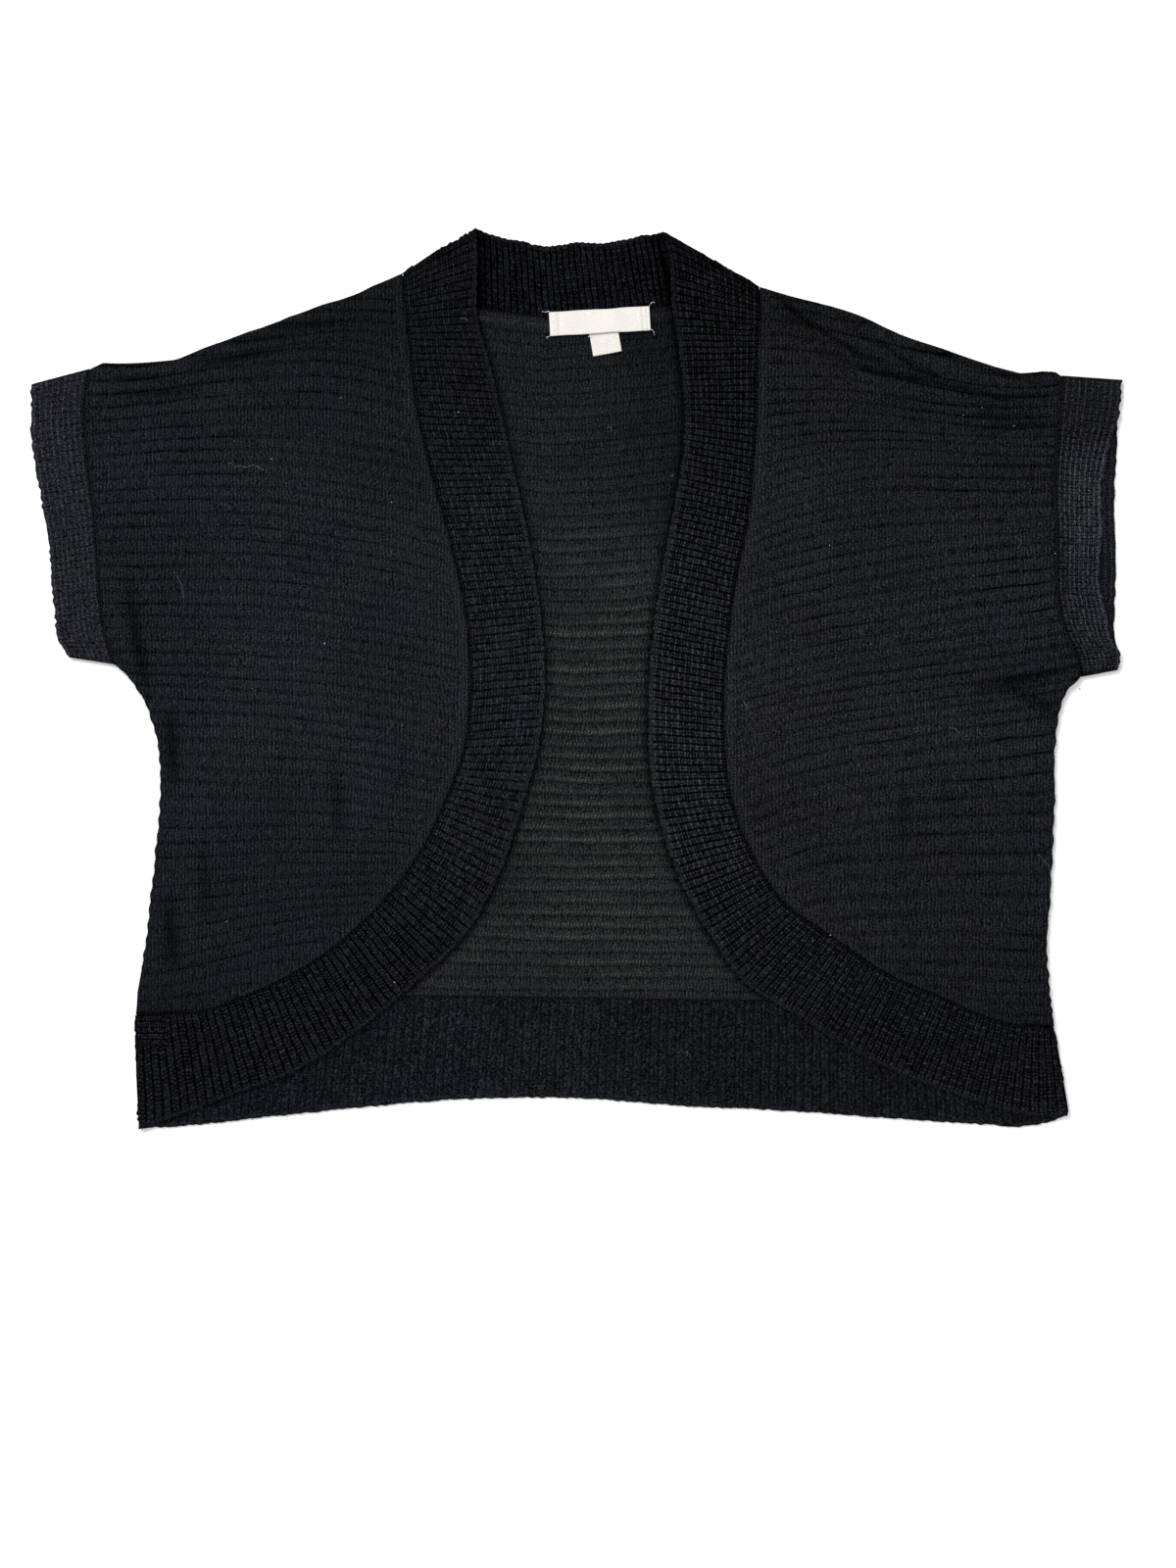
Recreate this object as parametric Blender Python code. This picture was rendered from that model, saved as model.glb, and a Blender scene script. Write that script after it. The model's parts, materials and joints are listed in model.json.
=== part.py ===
"""Knitted shrug with short sleeves and an open front, laid flat with its front up.

The back lies on the surface and the fronts lie on it. The fronts, the back and both
halves of each short sleeve are cut in one from a fine ripple knit, whose raised ribs
run from side to side. Waffle rib bands finish the fronts, the neck, the hem and the
cuffs, with their ribs across the band. Two bare woven labels are sewn in at the neck.

Tables and sizes are in millimetres: x to the right, y towards the neck, z up from the
surface. The origin is the middle of the garment, on the surface.
"""

import math

import bmesh
import bpy
import numpy as np

MM = 0.001
COLLECTION = "knitted_shrug"

# ------------------------------------------------------------------ driving sizes

SEAM_GAP = 0.4  # between two pieces sewn edge to edge
SLEEVE_GAP = 0.9  # beside a cuff's curved seam, which a sleeve's rows meet in straight steps
LAYER_GAP = 0.3  # between two pieces that lie on each other
BODY_WALL = 1.6  # ripple knit, without its ribs
BODY_RISE = 0.5  # a ripple rib over the row beside it
BAND_WALL = 1.8  # waffle rib, without its ribs
BAND_RISE = 0.6
BODY_TOP = BODY_WALL + BODY_RISE
BAND_TOP = BAND_WALL + BAND_RISE
FRONT_BASE = BODY_TOP + LAYER_GAP  # the fronts lie on the back
OVER_BAND_BASE = BAND_TOP + LAYER_GAP  # what lies on the hem band or the neck band
AIR = 1.6  # how far the middle of a front stands off the back
EDGE_WALL = 0.6  # a wall's share of its thickness at its sewn or folded edge

FRONT_RIBS = 56  # ripple ribs from the neck to the hem
BACK_RIBS = 56
HEM_PITCH = 4.95  # from rib to rib along a waffle band
CUFF_PITCH = 3.85
ROWS_A_RIB = 2  # one row in the hollow and one on the crest
UNDER_STEP = 4  # the plain lower face takes every fourth row
SAMPLE = 1.0  # step along a smoothed line
SMOOTH_UNDER = 40.0  # degrees between two faces that are shaded as one

# ------------------------------------------------------------------ lines in plan
# Each row is a point (x, y) that the line passes smoothly.

SHOULDER_LEFT = [
    (-102, 238), (-115, 232.3), (-121, 230), (-127, 226.6), (-137, 223), (-150, 219), (-177, 209),
    (-212, 196.5), (-246, 184.5), (-263, 183.5), (-281, 184.5), (-285.6, 182),
]
SHOULDER_RIGHT = [
    (107, 230), (125, 224.5), (151, 218), (170, 211.5), (188, 202.5), (218, 192.5), (249, 182),
    (266, 178.5), (280, 180.5), (284.6, 178),
]
CUFF_SEAM_LEFT = [
    (-286, 182), (-289, 160), (-287, 128), (-283, 93), (-280.5, 60), (-277.5, 30), (-271.5, 8.5),
]
CUFF_SEAM_RIGHT = [
    (285, 178), (283, 151), (281, 118), (282, 76), (282.5, 48), (287, 28), (294, 12), (296, 1),
]
SIDE_LEFT = [
    (-271.5, 8.5), (-264, 2), (-254, -13), (-246, -38), (-244.5, -70), (-248, -110), (-253, -154),
    (-258.2, -184),
]
SIDE_RIGHT = [
    (296, 1), (288, -7), (283, -20), (280.5, -40), (280.5, -66), (278, -125), (276, -155), (277, -191),
]
FRONT_CORNER_LEFT = (-258.7, -197)  # where a front's side ends, at the band that lies on the hem band
FRONT_CORNER_RIGHT = (280, -204)
HEM_SEAM = [(-258.2, -184), (277, -191)]
HEM_EDGE = [
    (-257, -264.5), (-227, -262.5), (-185, -258), (-123, -251.5), (-75, -247.5), (0, -246.5), (63, -251),
    (125, -254), (187, -258.5), (239, -262), (262, -263), (280, -259.5), (288, -256.5),
]
NECK_EDGE = [
    (-59, 264.5), (-50, 261), (-31, 257), (-19, 254), (0, 256.5), (20, 256.5), (36, 260), (50, 262.5),
]
NECK_SEAM = [  # straight stretches
    (-102, 237), (-57, 217), (-17, 212), (20, 214.5), (55, 219), (107, 229),
]
BAND_SEAM_LEFT = [
    (-102, 238), (-98.5, 203), (-94, 162), (-85, 122), (-73, 78), (-63.5, 30), (-62, 0), (-65, -38),
    (-77, -73), (-95, -108), (-120, -138), (-154, -166), (-189, -184), (-223, -196), (-259, -197.5),
]
BAND_EDGE_LEFT = [
    (-59, 264.5), (-58, 245), (-58, 213), (-50, 182), (-40, 138), (-27, 77), (-20, 30), (-18.5, -5),
    (-22, -38), (-31, -73), (-47, -119), (-64, -149), (-97, -181), (-131, -209), (-166, -231),
    (-200, -244), (-235, -257), (-257, -264.5),
]
BAND_SEAM_RIGHT = [
    (107, 230), (105.5, 180), (104, 134), (100, 93), (93, 58), (87.5, 15), (86, -30), (89, -65),
    (99, -96), (119, -129), (150, -152), (185, -175), (214, -187), (237, -197.5), (260, -203.5),
    (280, -205),
]
BAND_EDGE_RIGHT = [
    (50, 262.5), (53, 253), (56, 220), (61, 185), (63.5, 150), (61, 122), (52, 75), (44.5, 24), (42, -20),
    (43, -50), (49, -85), (61, -119), (79, -152), (97, -177), (133, -200), (168, -222), (202, -237),
    (237, -249), (271, -257), (288, -256.5),
]
CUFF_EDGE_LEFT = [
    (-320, 173), (-320, 145), (-315, 110), (-309.5, 76), (-306.5, 42), (-303.5, 22), (-298, 12.5),
]
CUFF_EDGE_RIGHT_BACK = [
    (320, 175.5), (318, 154), (317.5, 134), (316, 110), (316, 88), (317, 65), (316, 42), (316, 24),
    (319, 11), (317, 5),
]
CUFF_EDGE_RIGHT_FRONT = [
    (320, 175.5), (318, 155), (313, 137), (309, 122), (308, 88), (307, 53), (310, 40), (313, 25),
    (319, 11), (317, 5),
]

# ------------------------------------------------------------------ ripple ribs of the fronts
# rib: counted from the neck. outer: where it starts, 0 to 1 along the shoulder, 1 to 2
# down the cuff seam and 2 to 3 down the side. band_y: where it meets the band seam.
# bow_side, bow_band: how far it stands above a straight line, a third of the way from each end.

STATION_COLUMNS = ("rib", "outer", "band_y", "bow_side", "bow_band")
STATIONS_LEFT = [
    (0.0, 0.00, 237.0, 0.0, 0.0),
    (3.5, 0.37, 210.0, 1.0, 1.5),
    (6.0, 0.72, 190.5, 3.0, 7.5),
    (7.0, 1.00, 182.5, 4.0, 10.0),
    (12.5, 1.24, 132.0, 7.0, 9.0),
    (19.0, 1.50, 75.5, 8.0, 9.0),
    (25.5, 1.77, 28.0, 5.0, 6.0),
    (31.0, 2.00, -11.0, 4.5, 6.0),
    (37.5, 2.26, -58.5, 4.0, 5.5),
    (43.0, 2.48, -93.0, 2.0, 4.0),
    (48.5, 2.71, -124.5, 1.0, 3.0),
    (53.5, 2.91, -158.0, 0.0, 2.0),
    (56.0, 3.00, -195.5, 0.0, 0.0),
]
STATIONS_RIGHT = [
    (0.0, 0.00, 229.0, 0.0, 0.0),
    (2.5, 0.45, 214.0, -1.0, 1.0),
    (4.5, 1.00, 197.0, -4.5, 1.0),
    (8.0, 1.11, 168.0, -2.5, 3.0),
    (15.5, 1.30, 110.5, 7.0, 10.0),
    (23.0, 1.52, 53.0, 5.0, 8.5),
    (30.0, 1.82, -4.0, 2.0, 5.5),
    (34.5, 2.00, -35.5, 2.5, 7.0),
    (38.0, 2.14, -62.0, 4.0, 8.5),
    (43.5, 2.43, -108.0, 5.0, 10.0),
    (49.0, 2.75, -151.0, 1.5, 3.0),
    (52.5, 2.90, -177.0, -1.0, 0.0),
    (56.0, 3.00, -203.0, 0.0, 0.0),
]
FRONT_ACROSS = (0.0, 0.04, 0.12, 0.22, 0.38, 0.58, 0.80, 0.955, 1.0)  # shares of a rib, side to band
THIRD_BOW = 13.5  # makes t (t - 2/3) (t - 1) reach 1 where t is 1/3
AIR_ACROSS = 0.30  # share of a front's width, and of its height, over which it rises off the back
AIR_DOWN = 0.12
RISE_TO_HEM = (160.0, 178.0)  # depths below the middle between which a front climbs onto the hem band

# Folds of the fronts: a soft ridge (height over 0) or trough along a short line.
FOLD_COLUMNS = ("from_x", "from_y", "to_x", "to_y", "width", "height")
FOLD_END = 0.15  # a fold's height follows half a sine wave, less this share of it at each end
FOLDS_LEFT = [
    (-269, 52, -258, 2, 8, 3.2),
    (-245, 70, -249, -28, 9, -1.8),
    (-230, 40, -236, -30, 12, 1.4),
    (-262, 174, -170, 196, 5, 1.6),
    (-258, 160, -165, 180, 4, -1.4),
    (-250, 150, -160, 168, 5, 1.0),
    (-236, -28, -238, -64, 7, -1.6),
    (-238, -122, -236, -172, 7, -1.5),
    (-140, -50, -138, -98, 8, -1.4),
    (-120, -45, -120, -100, 9, 1.2),
    (-182, -52, -186, -118, 9, 1.3),
    (-215, -60, -222, -165, 11, 1.5),
]
FOLDS_RIGHT = [
    (294, 18, 268, -16, 9, 2.8),
    (282, -4, 232, -8, 7, -1.6),
    (116, 222, 170, 188, 5, 1.8),
    (112, 214, 158, 180, 4, -1.4),
    (162, 178, 262, 172, 5, -1.5),
    (170, 170, 270, 164, 6, 1.4),
    (230, 150, 282, 150, 6, -1.2),
    (156, -146, 246, -188, 9, 2.2),
    (195, -62, 198, -108, 8, -1.5),
    (214, -58, 216, -120, 10, 1.4),
    (248, -60, 252, -150, 11, 1.4),
    (150, -20, 158, -84, 12, 1.0),
]
NECK_ROLL = 2.4  # how far a band stands up in the roll beside its neck fold
NECK_ROLL_LENGTH = 46.0  # along the band

# ------------------------------------------------------------------ ribs of the bands
# travel: along the middle of a front band from its neck fold. pitch: from rib to rib there.
# lean: how much further down the band a rib ends at the free edge than it starts at the seam.

BAND_COLUMNS = ("travel", "pitch", "lean")
BAND_RIBS_LEFT = [
    (0, 4.35, 0), (25, 4.35, 13), (50, 4.30, 17.8), (75, 4.25, 17.5), (100, 4.15, 12.5),
    (150, 4.15, 0), (200, 4.50, -11), (250, 4.65, -21), (300, 5.00, -26), (350, 5.00, -16),
    (400, 4.80, -11), (475, 4.70, -7.5), (550, 4.95, -5), (603, 4.60, 0),
]
BAND_RIBS_RIGHT = [
    (0, 3.65, 0), (25, 3.65, 17), (50, 3.70, 24), (75, 3.85, 20.5), (100, 4.00, 9), (150, 4.00, -5),
    (200, 4.05, -14.5), (250, 4.00, -21.5), (300, 4.15, -24.5), (350, 4.40, -22.5),
    (400, 4.30, -15.5), (450, 4.10, -9), (500, 4.10, -10.5), (550, 4.40, -12.5), (585, 4.35, -9),
    (607, 4.30, 0),
]

# The neck band's rows are upright where it shows and fan out under the front bands' ends.
NECK_COLUMNS = ("row", "edge_x", "seam_x")
NECK_ROWS = [
    (0, -59.0, -102.0),
    (2, -58.5, -79.0),
    (4, -58.0, -57.0),
    (64, 47.0, 55.0),
    (66, 48.5, 81.0),
    (68, 50.0, 107.0),
]
HEM_LEAN = -9.0  # how much further right a hem rib ends at the hem than at the seam
HEM_LEAN_SHARE = 0.2  # share of the band's length over which that grows from each end
CUFF_LEAN_LEFT = (-6.0, 8.5)  # a rib's lean towards the sleeve's lower fold: upper end, lower end
CUFF_LEAN_RIGHT = (3.0, 3.0)
CUFF_LEAN_SHARE = 0.15

# ------------------------------------------------------------------ back, bands, cuffs and labels

BACK_SHOULDER_X = (-285.6, -250.0, -212.0, -160.0, 145.0, 180.0, 215.0, 250.0, 284.6)
BACK_WINDOW = (-60.0, 60.0)  # where the back shows between the fronts
BAND_ACROSS = (0.0, 0.10, 0.90, 1.0)  # shares of a band's width, seam to free edge
HEM_ACROSS = (0.0, 0.93, 1.0)
NECK_ACROSS = (0.0, 0.08, 1.0)
HEM_WINDOW = (-205.0, 222.0)  # the stretch of the hem band whose ribs show
HEM_BOW = 1.5  # how far the hem band's two ends bow out
HEM_BOW_SHARE = 0.04  # share of the band that bows with its end
NECK_WINDOW = (-62.0, 66.0)  # the stretch of the neck band whose ribs show
CUFF_ACROSS = (0.0, 0.12, 0.90, 1.0)  # shares of a cuff's depth, seam to free edge
CUFF_HOLLOW = 1.0  # clear height inside a flattened cuff
CUFF_BACK_STEPS = 24
CUFF_TURN_STEPS = 4  # faces round each folded end of a cuff

# How much of a piece's width or length its edge takes to reach the full thickness.
FRONT_EDGE_ACROSS = 0.05
FRONT_EDGE_DOWN = 0.02
BAND_EDGE_ACROSS = 0.10
BAND_EDGE_ALONG = 0.008
CUFF_EDGE_ACROSS = 0.12

TAPE_WALL = 0.5
TAPE_BEVEL = 0.15
LABEL_COLUMNS = ("x", "y", "base", "length", "width", "thick", "tilt")
SIZE_LABEL = (16.5, 195.2, FRONT_BASE, 17.0, 16.5, TAPE_WALL, 8.0)
NECK_LABEL_BASE = OVER_BAND_BASE + TAPE_WALL + LAYER_GAP  # on the size label
NECK_LABEL = (13.5, 209.6, NECK_LABEL_BASE, 59.0, 14.0, TAPE_WALL, 3.4)

RIPPLE_KNIT = ("ripple_knit", (0.0110, 0.0116, 0.0152), 0.93)  # name, colour, roughness
WAFFLE_KNIT = ("waffle_knit", (0.0070, 0.0075, 0.0103), 0.95)
WOVEN_TAPE = ("woven_tape", (0.86, 0.85, 0.80), 0.70)


# ------------------------------------------------------------------ smooth lines


def glide(at, knots, values):
    """A smooth curve through a table: cubic pieces that take the table's mean slopes."""
    knots = np.asarray(knots, float)
    values = np.asarray(values, float)
    slopes = np.gradient(values, knots)
    at = np.clip(at, knots[0], knots[-1])
    piece = np.clip(np.searchsorted(knots, at, side="right") - 1, 0, len(knots) - 2)
    step = knots[piece + 1] - knots[piece]
    t = (at - knots[piece]) / step
    start = (1 + 2 * t) * (1 - t) ** 2 * values[piece] + t * (1 - t) ** 2 * step * slopes[piece]
    end = t * t * (3 - 2 * t) * values[piece + 1] - t * t * (1 - t) * step * slopes[piece + 1]
    return start + end


def ramp(value, low, high):
    """0 below low, 1 above high and a soft step between."""
    t = np.clip((value - low) / (high - low), 0.0, 1.0)
    return t * t * (3 - 2 * t)


class Line:
    """A smooth line in plan, read by its share of the length, by its height y or by its x."""

    def __init__(self, points, shift=0.0, read=glide):
        points = np.array(points, float)
        reach = np.append(0.0, np.cumsum(np.linalg.norm(np.diff(points, axis=0), axis=1)))
        at = np.unique(np.append(np.arange(0.0, reach[-1], SAMPLE), reach))
        line = np.column_stack([read(at, reach, points[:, axis]) for axis in (0, 1)])
        along = np.gradient(line, axis=0)
        along /= np.linalg.norm(along, axis=1)[:, None]
        self.points = line + shift * np.column_stack([-along[:, 1], along[:, 0]])
        steps = np.linalg.norm(np.diff(self.points, axis=0), axis=1)
        self.length = steps.sum()
        self.share = np.append(0.0, np.cumsum(steps)) / self.length

    def at_share(self, share):
        return np.column_stack([np.interp(share, self.share, self.points[:, axis]) for axis in (0, 1)])

    def at_height(self, y):
        x = np.interp(-np.asarray(y), -self.points[:, 1], self.points[:, 0])
        return np.column_stack([x, y])

    def at_width(self, x):
        return np.column_stack([x, np.interp(x, self.points[:, 0], self.points[:, 1])])


def between(start, end, share):
    """Points on straight rows: share 0 on the start line and 1 on the end line."""
    share = np.asarray(share)[None, :, None]
    return start[:, None, :] * (1 - share) + end[:, None, :] * share


# ------------------------------------------------------------------ knitted walls


def even(ribs):
    """A whole, even number of ribs, so that the last row is also one of the lower face's."""
    return 2 * round(ribs / 2)


def crests(rows):
    """1 on each rib's crest row and 0 on the hollow rows, hollow at both ends."""
    return (np.arange(rows) % ROWS_A_RIB).astype(float)


def from_edge(shares, margin):
    """0 at both edges of a width and 1 further in than the margin."""
    return ramp(np.minimum(shares, 1 - shares), 0.0, margin)


def thin_edges(shares, margin):
    """A wall's thickness across its width: full inside, EDGE_WALL of it at both edges."""
    shares = np.asarray(shares)
    return EDGE_WALL + (1 - EDGE_WALL) * from_edge(shares, margin)


def loft_wall(name, plan, low, high, material):
    """A cloth wall from its rows of points.

    The upper face takes every row, so it carries the ribs. The lower face takes only
    some of the hollow rows, so it stays plain. The edges close between them.
    """
    rows, columns = plan.shape[:2]
    under = np.arange(0, rows, UNDER_STEP)
    top = np.dstack([plan, high]).reshape(-1, 3)
    bottom = np.dstack([plan[under], low[under]]).reshape(-1, 3)
    faces = []
    for i in range(rows - 1):
        for j in range(columns - 1):
            a = i * columns + j
            faces.append((a, a + columns, a + columns + 1, a + 1))
    first = rows * columns
    for i in range(len(under) - 1):
        for j in range(columns - 1):
            a = first + i * columns + j
            faces.append((a, a + 1, a + columns + 1, a + columns))
        for j in (0, columns - 1):
            lower = (first + i * columns + j, first + (i + 1) * columns + j)
            upper = tuple(row * columns + j for row in range(under[i + 1], under[i] - 1, -1))
            ring = lower + upper
            faces.append(ring if j == 0 else ring[::-1])
    for i, row in ((0, 0), (len(under) - 1, rows - 1)):
        for j in range(columns - 1):
            lower = first + i * columns + j
            upper = row * columns + j
            ring = (lower, upper, upper + 1, lower + 1)
            faces.append(ring if i == 0 else ring[::-1])
    return make_object(name, np.vstack([top, bottom]), faces, material)


def make_object(name, points, faces, material):
    """A mesh object in the garment's collection, with its faces turned outwards."""
    mesh = bpy.data.meshes.new(name)
    mesh.from_pydata((points * MM).tolist(), [], faces)
    body = bmesh.new()
    body.from_mesh(mesh)
    bmesh.ops.recalc_face_normals(body, faces=body.faces)
    body.to_mesh(mesh)
    body.free()
    mesh.shade_smooth()
    mesh.set_sharp_from_angle(angle=math.radians(SMOOTH_UNDER))
    mesh.materials.append(material)
    obj = bpy.data.objects.new(name, mesh)
    bpy.data.collections[COLLECTION].objects.link(obj)
    return obj


def folds_at(x, y, folds):
    """Height of the folds at each point: each is highest along its line and fades round it."""
    height = np.zeros_like(x)
    for row in folds:
        fold = dict(zip(FOLD_COLUMNS, row))
        run = np.array([fold["to_x"] - fold["from_x"], fold["to_y"] - fold["from_y"]], float)
        share = ((x - fold["from_x"]) * run[0] + (y - fold["from_y"]) * run[1]) / (run @ run)
        near = np.clip(share, 0.0, 1.0)
        away = np.hypot(x - fold["from_x"] - near * run[0], y - fold["from_y"] - near * run[1])
        fade = np.sin(np.pi * (FOLD_END + (1 - 2 * FOLD_END) * near))
        height += fold["height"] * fade * np.exp(-((away / fold["width"]) ** 2))
    return height


# ------------------------------------------------------------------ fronts


def outer_points(lines, stations):
    """Points on the outer outline of a front: one line for each whole number of the station."""
    points = np.zeros((len(stations), 2))
    for number, line in enumerate(lines):
        here = (stations >= number) & (stations <= number + 1)
        points[here] = line.at_share(stations[here] - number)
    return points


def front_plan(outlines, band_seam, stations, across):
    """Rows of points along the ripple ribs of a front, from its outer outline to the band seam."""
    columns = dict(zip(STATION_COLUMNS, np.array(stations).T))
    rib = np.arange(0, FRONT_RIBS * ROWS_A_RIB + 1) / ROWS_A_RIB
    read = {key: glide(rib, columns["rib"], columns[key]) for key in STATION_COLUMNS[2:]}
    outer = outer_points(outlines, np.interp(rib, columns["rib"], columns["outer"]))
    inner = band_seam.at_height(read["band_y"])
    plan = between(outer, inner, across)
    t = np.asarray(across)
    near_side = THIRD_BOW * t * (t - 2 / 3) * (t - 1)
    near_band = -THIRD_BOW * t * (t - 1 / 3) * (t - 1)
    plan[:, :, 1] += read["bow_side"][:, None] * near_side + read["bow_band"][:, None] * near_band
    return plan


def make_front(name, outlines, band_seam, stations, folds, material):
    """A front with its half of the sleeve: it lies on the back, with some air under its middle."""
    plan = front_plan(outlines, band_seam, stations, FRONT_ACROSS)
    rows = plan.shape[0]
    x, y = plan[:, :, 0], plan[:, :, 1]
    down = np.linspace(0.0, 1.0, rows)[:, None]
    across = np.asarray(FRONT_ACROSS)[None, :]
    inside = from_edge(across, AIR_ACROSS) * from_edge(down, AIR_DOWN)
    base = FRONT_BASE + (OVER_BAND_BASE - FRONT_BASE) * ramp(-y, *RISE_TO_HEM)
    low = base + np.maximum(AIR * inside + folds_at(x, y, folds), 0.0)
    edges = thin_edges(across, FRONT_EDGE_ACROSS)
    wall = BODY_WALL * edges * thin_edges(down, FRONT_EDGE_DOWN)
    rise = BODY_RISE * edges * crests(rows)[:, None]
    return loft_wall(name, plan, low, low + wall + rise, material)


# ------------------------------------------------------------------ back


def back_plan(columns_x):
    """Rows of points across the back, from the shoulders and neck seam down to the hem seam.

    A point is its height's share between the top and bottom lines plus its width's share
    between the two sides, less what both of those count twice.
    """
    left = np.vstack([Line(CUFF_SEAM_LEFT, SLEEVE_GAP).points, Line(SIDE_LEFT).points[1:]])
    right = np.vstack([Line(CUFF_SEAM_RIGHT, -SLEEVE_GAP).points, Line(SIDE_RIGHT).points[1:]])
    top = np.vstack([
        Line(SHOULDER_LEFT[::-1]).points[:-1],
        Line(NECK_SEAM, -SEAM_GAP, np.interp).points,
        Line(SHOULDER_RIGHT).points[1:],
    ])
    bottom = Line(HEM_SEAM, SEAM_GAP).points
    across = (columns_x - columns_x[0]) / (columns_x[-1] - columns_x[0])
    down = np.linspace(0.0, 1.0, BACK_RIBS * ROWS_A_RIB + 1)

    def by_height(edge):
        y = edge[0, 1] + (edge[-1, 1] - edge[0, 1]) * down
        return np.column_stack([np.interp(-y, -edge[:, 1], edge[:, 0]), y])

    def by_width(edge):
        x = edge[0, 0] + (edge[-1, 0] - edge[0, 0]) * across
        return np.column_stack([x, np.interp(x, edge[:, 0], edge[:, 1])])

    left, right, top, bottom = by_height(left), by_height(right), by_width(top), by_width(bottom)
    s = down[:, None, None]
    t = across[None, :, None]
    top[0], top[-1] = left[0], right[0]
    corners = (1 - s) * ((1 - t) * top[0] + t * top[-1]) + s * ((1 - t) * bottom[0] + t * bottom[-1])
    return (1 - s) * top[None] + s * bottom[None] + (1 - t) * left[:, None] + t * right[:, None] - corners


def make_back(material):
    """The back with its halves of the sleeves: flat on the surface, ribbed where it shows."""
    columns_x = np.sort(np.append(BACK_SHOULDER_X, [x for x, _ in NECK_SEAM]))
    plan = back_plan(columns_x)
    rows = plan.shape[0]
    shows = ((columns_x > BACK_WINDOW[0]) & (columns_x < BACK_WINDOW[1])).astype(float)
    high = BODY_WALL + BODY_RISE * crests(rows)[:, None] * shows[None, :]
    return loft_wall("back_panel", plan, np.zeros_like(high), high, material)


# ------------------------------------------------------------------ bands


def band_plan(seam, edge, table, across):
    """Rows of points along the ribs of a front band, and how far along the band each row lies."""
    ribs = dict(zip(BAND_COLUMNS, np.array(table, float).T))
    reach = np.arange(0.0, ribs["travel"][-1] + SAMPLE, SAMPLE)
    ribs_a_step = SAMPLE / np.interp(reach[:-1], ribs["travel"], ribs["pitch"])
    counted = np.append(0.0, np.cumsum(ribs_a_step))
    rows = even(counted[-1]) * ROWS_A_RIB
    travel = np.interp(np.linspace(0.0, counted[-1], rows + 1), counted, reach)
    lean = glide(travel, ribs["travel"], ribs["lean"])
    start = np.clip((travel - lean / 2) / reach[-1], 0.0, 1.0)
    end = np.clip((travel + lean / 2) / reach[-1], 0.0, 1.0)
    return between(seam.at_share(start), edge.at_share(end), across), travel


def make_band(name, seam, edge, table, material):
    """A front band: its rows run from its seam to its free edge, from the neck fold to the hem."""
    plan, travel = band_plan(seam, edge, table, BAND_ACROSS)
    roll = NECK_ROLL * np.sin(np.pi * np.clip(travel / NECK_ROLL_LENGTH, 0.0, 1.0)) ** 2
    low = OVER_BAND_BASE + roll[:, None] + 0 * plan[:, :, 0]
    cross = thin_edges(BAND_ACROSS, BAND_EDGE_ACROSS)[None, :]
    ends = thin_edges(travel / travel[-1], BAND_EDGE_ALONG)[:, None]
    high = low + (BAND_WALL + BAND_RISE * crests(len(travel))[:, None]) * cross * ends
    return loft_wall(name, plan, low, high, material)


def make_hem(material):
    """The back hem band: upright rows from its seam to the hem edge."""
    seam = Line(HEM_SEAM)
    edge = Line(HEM_EDGE)
    ribs = even(seam.length / HEM_PITCH)
    share = np.linspace(0.0, 1.0, ribs * ROWS_A_RIB + 1)
    lean = HEM_LEAN / edge.length * from_edge(share, HEM_LEAN_SHARE)
    plan = between(seam.at_share(share), edge.at_share(share + lean), HEM_ACROSS)
    bow = HEM_BOW * np.sin(np.pi * np.asarray(HEM_ACROSS))[None, :]
    outwards = ramp(share, 1 - HEM_BOW_SHARE, 1.0) - ramp(1 - share, 1 - HEM_BOW_SHARE, 1.0)
    plan[:, :, 0] += bow * outwards[:, None]
    shows = (plan[:, :, 0] > HEM_WINDOW[0]) & (plan[:, :, 0] < HEM_WINDOW[1])
    cross = np.array([1.0, 1.0, EDGE_WALL])[None, :]
    high = (BAND_WALL + BAND_RISE * crests(len(share))[:, None] * shows) * cross
    return loft_wall("hem_band", plan, np.zeros_like(high), high, material)


def make_neck(material):
    """The back neck band: its rows run from its free edge down to the neck seam."""
    edge = Line(NECK_EDGE)
    seam = Line(NECK_SEAM, read=np.interp)
    columns = dict(zip(NECK_COLUMNS, np.array(NECK_ROWS).T))
    row = np.arange(columns["row"][-1] + 1)
    edge_x = np.interp(row, columns["row"], columns["edge_x"])
    seam_x = np.interp(row, columns["row"], columns["seam_x"])
    plan = between(edge.at_width(edge_x), seam.at_width(seam_x), NECK_ACROSS)
    shows = (plan[:, :, 0] > NECK_WINDOW[0]) & (plan[:, :, 0] < NECK_WINDOW[1])
    cross = np.array([EDGE_WALL, 1.0, 1.0])[None, :]
    high = (BAND_WALL + BAND_RISE * crests(len(row))[:, None] * shows) * cross
    return loft_wall("neck_band", plan, np.zeros_like(high), high, material)


# ------------------------------------------------------------------ cuffs


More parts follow.
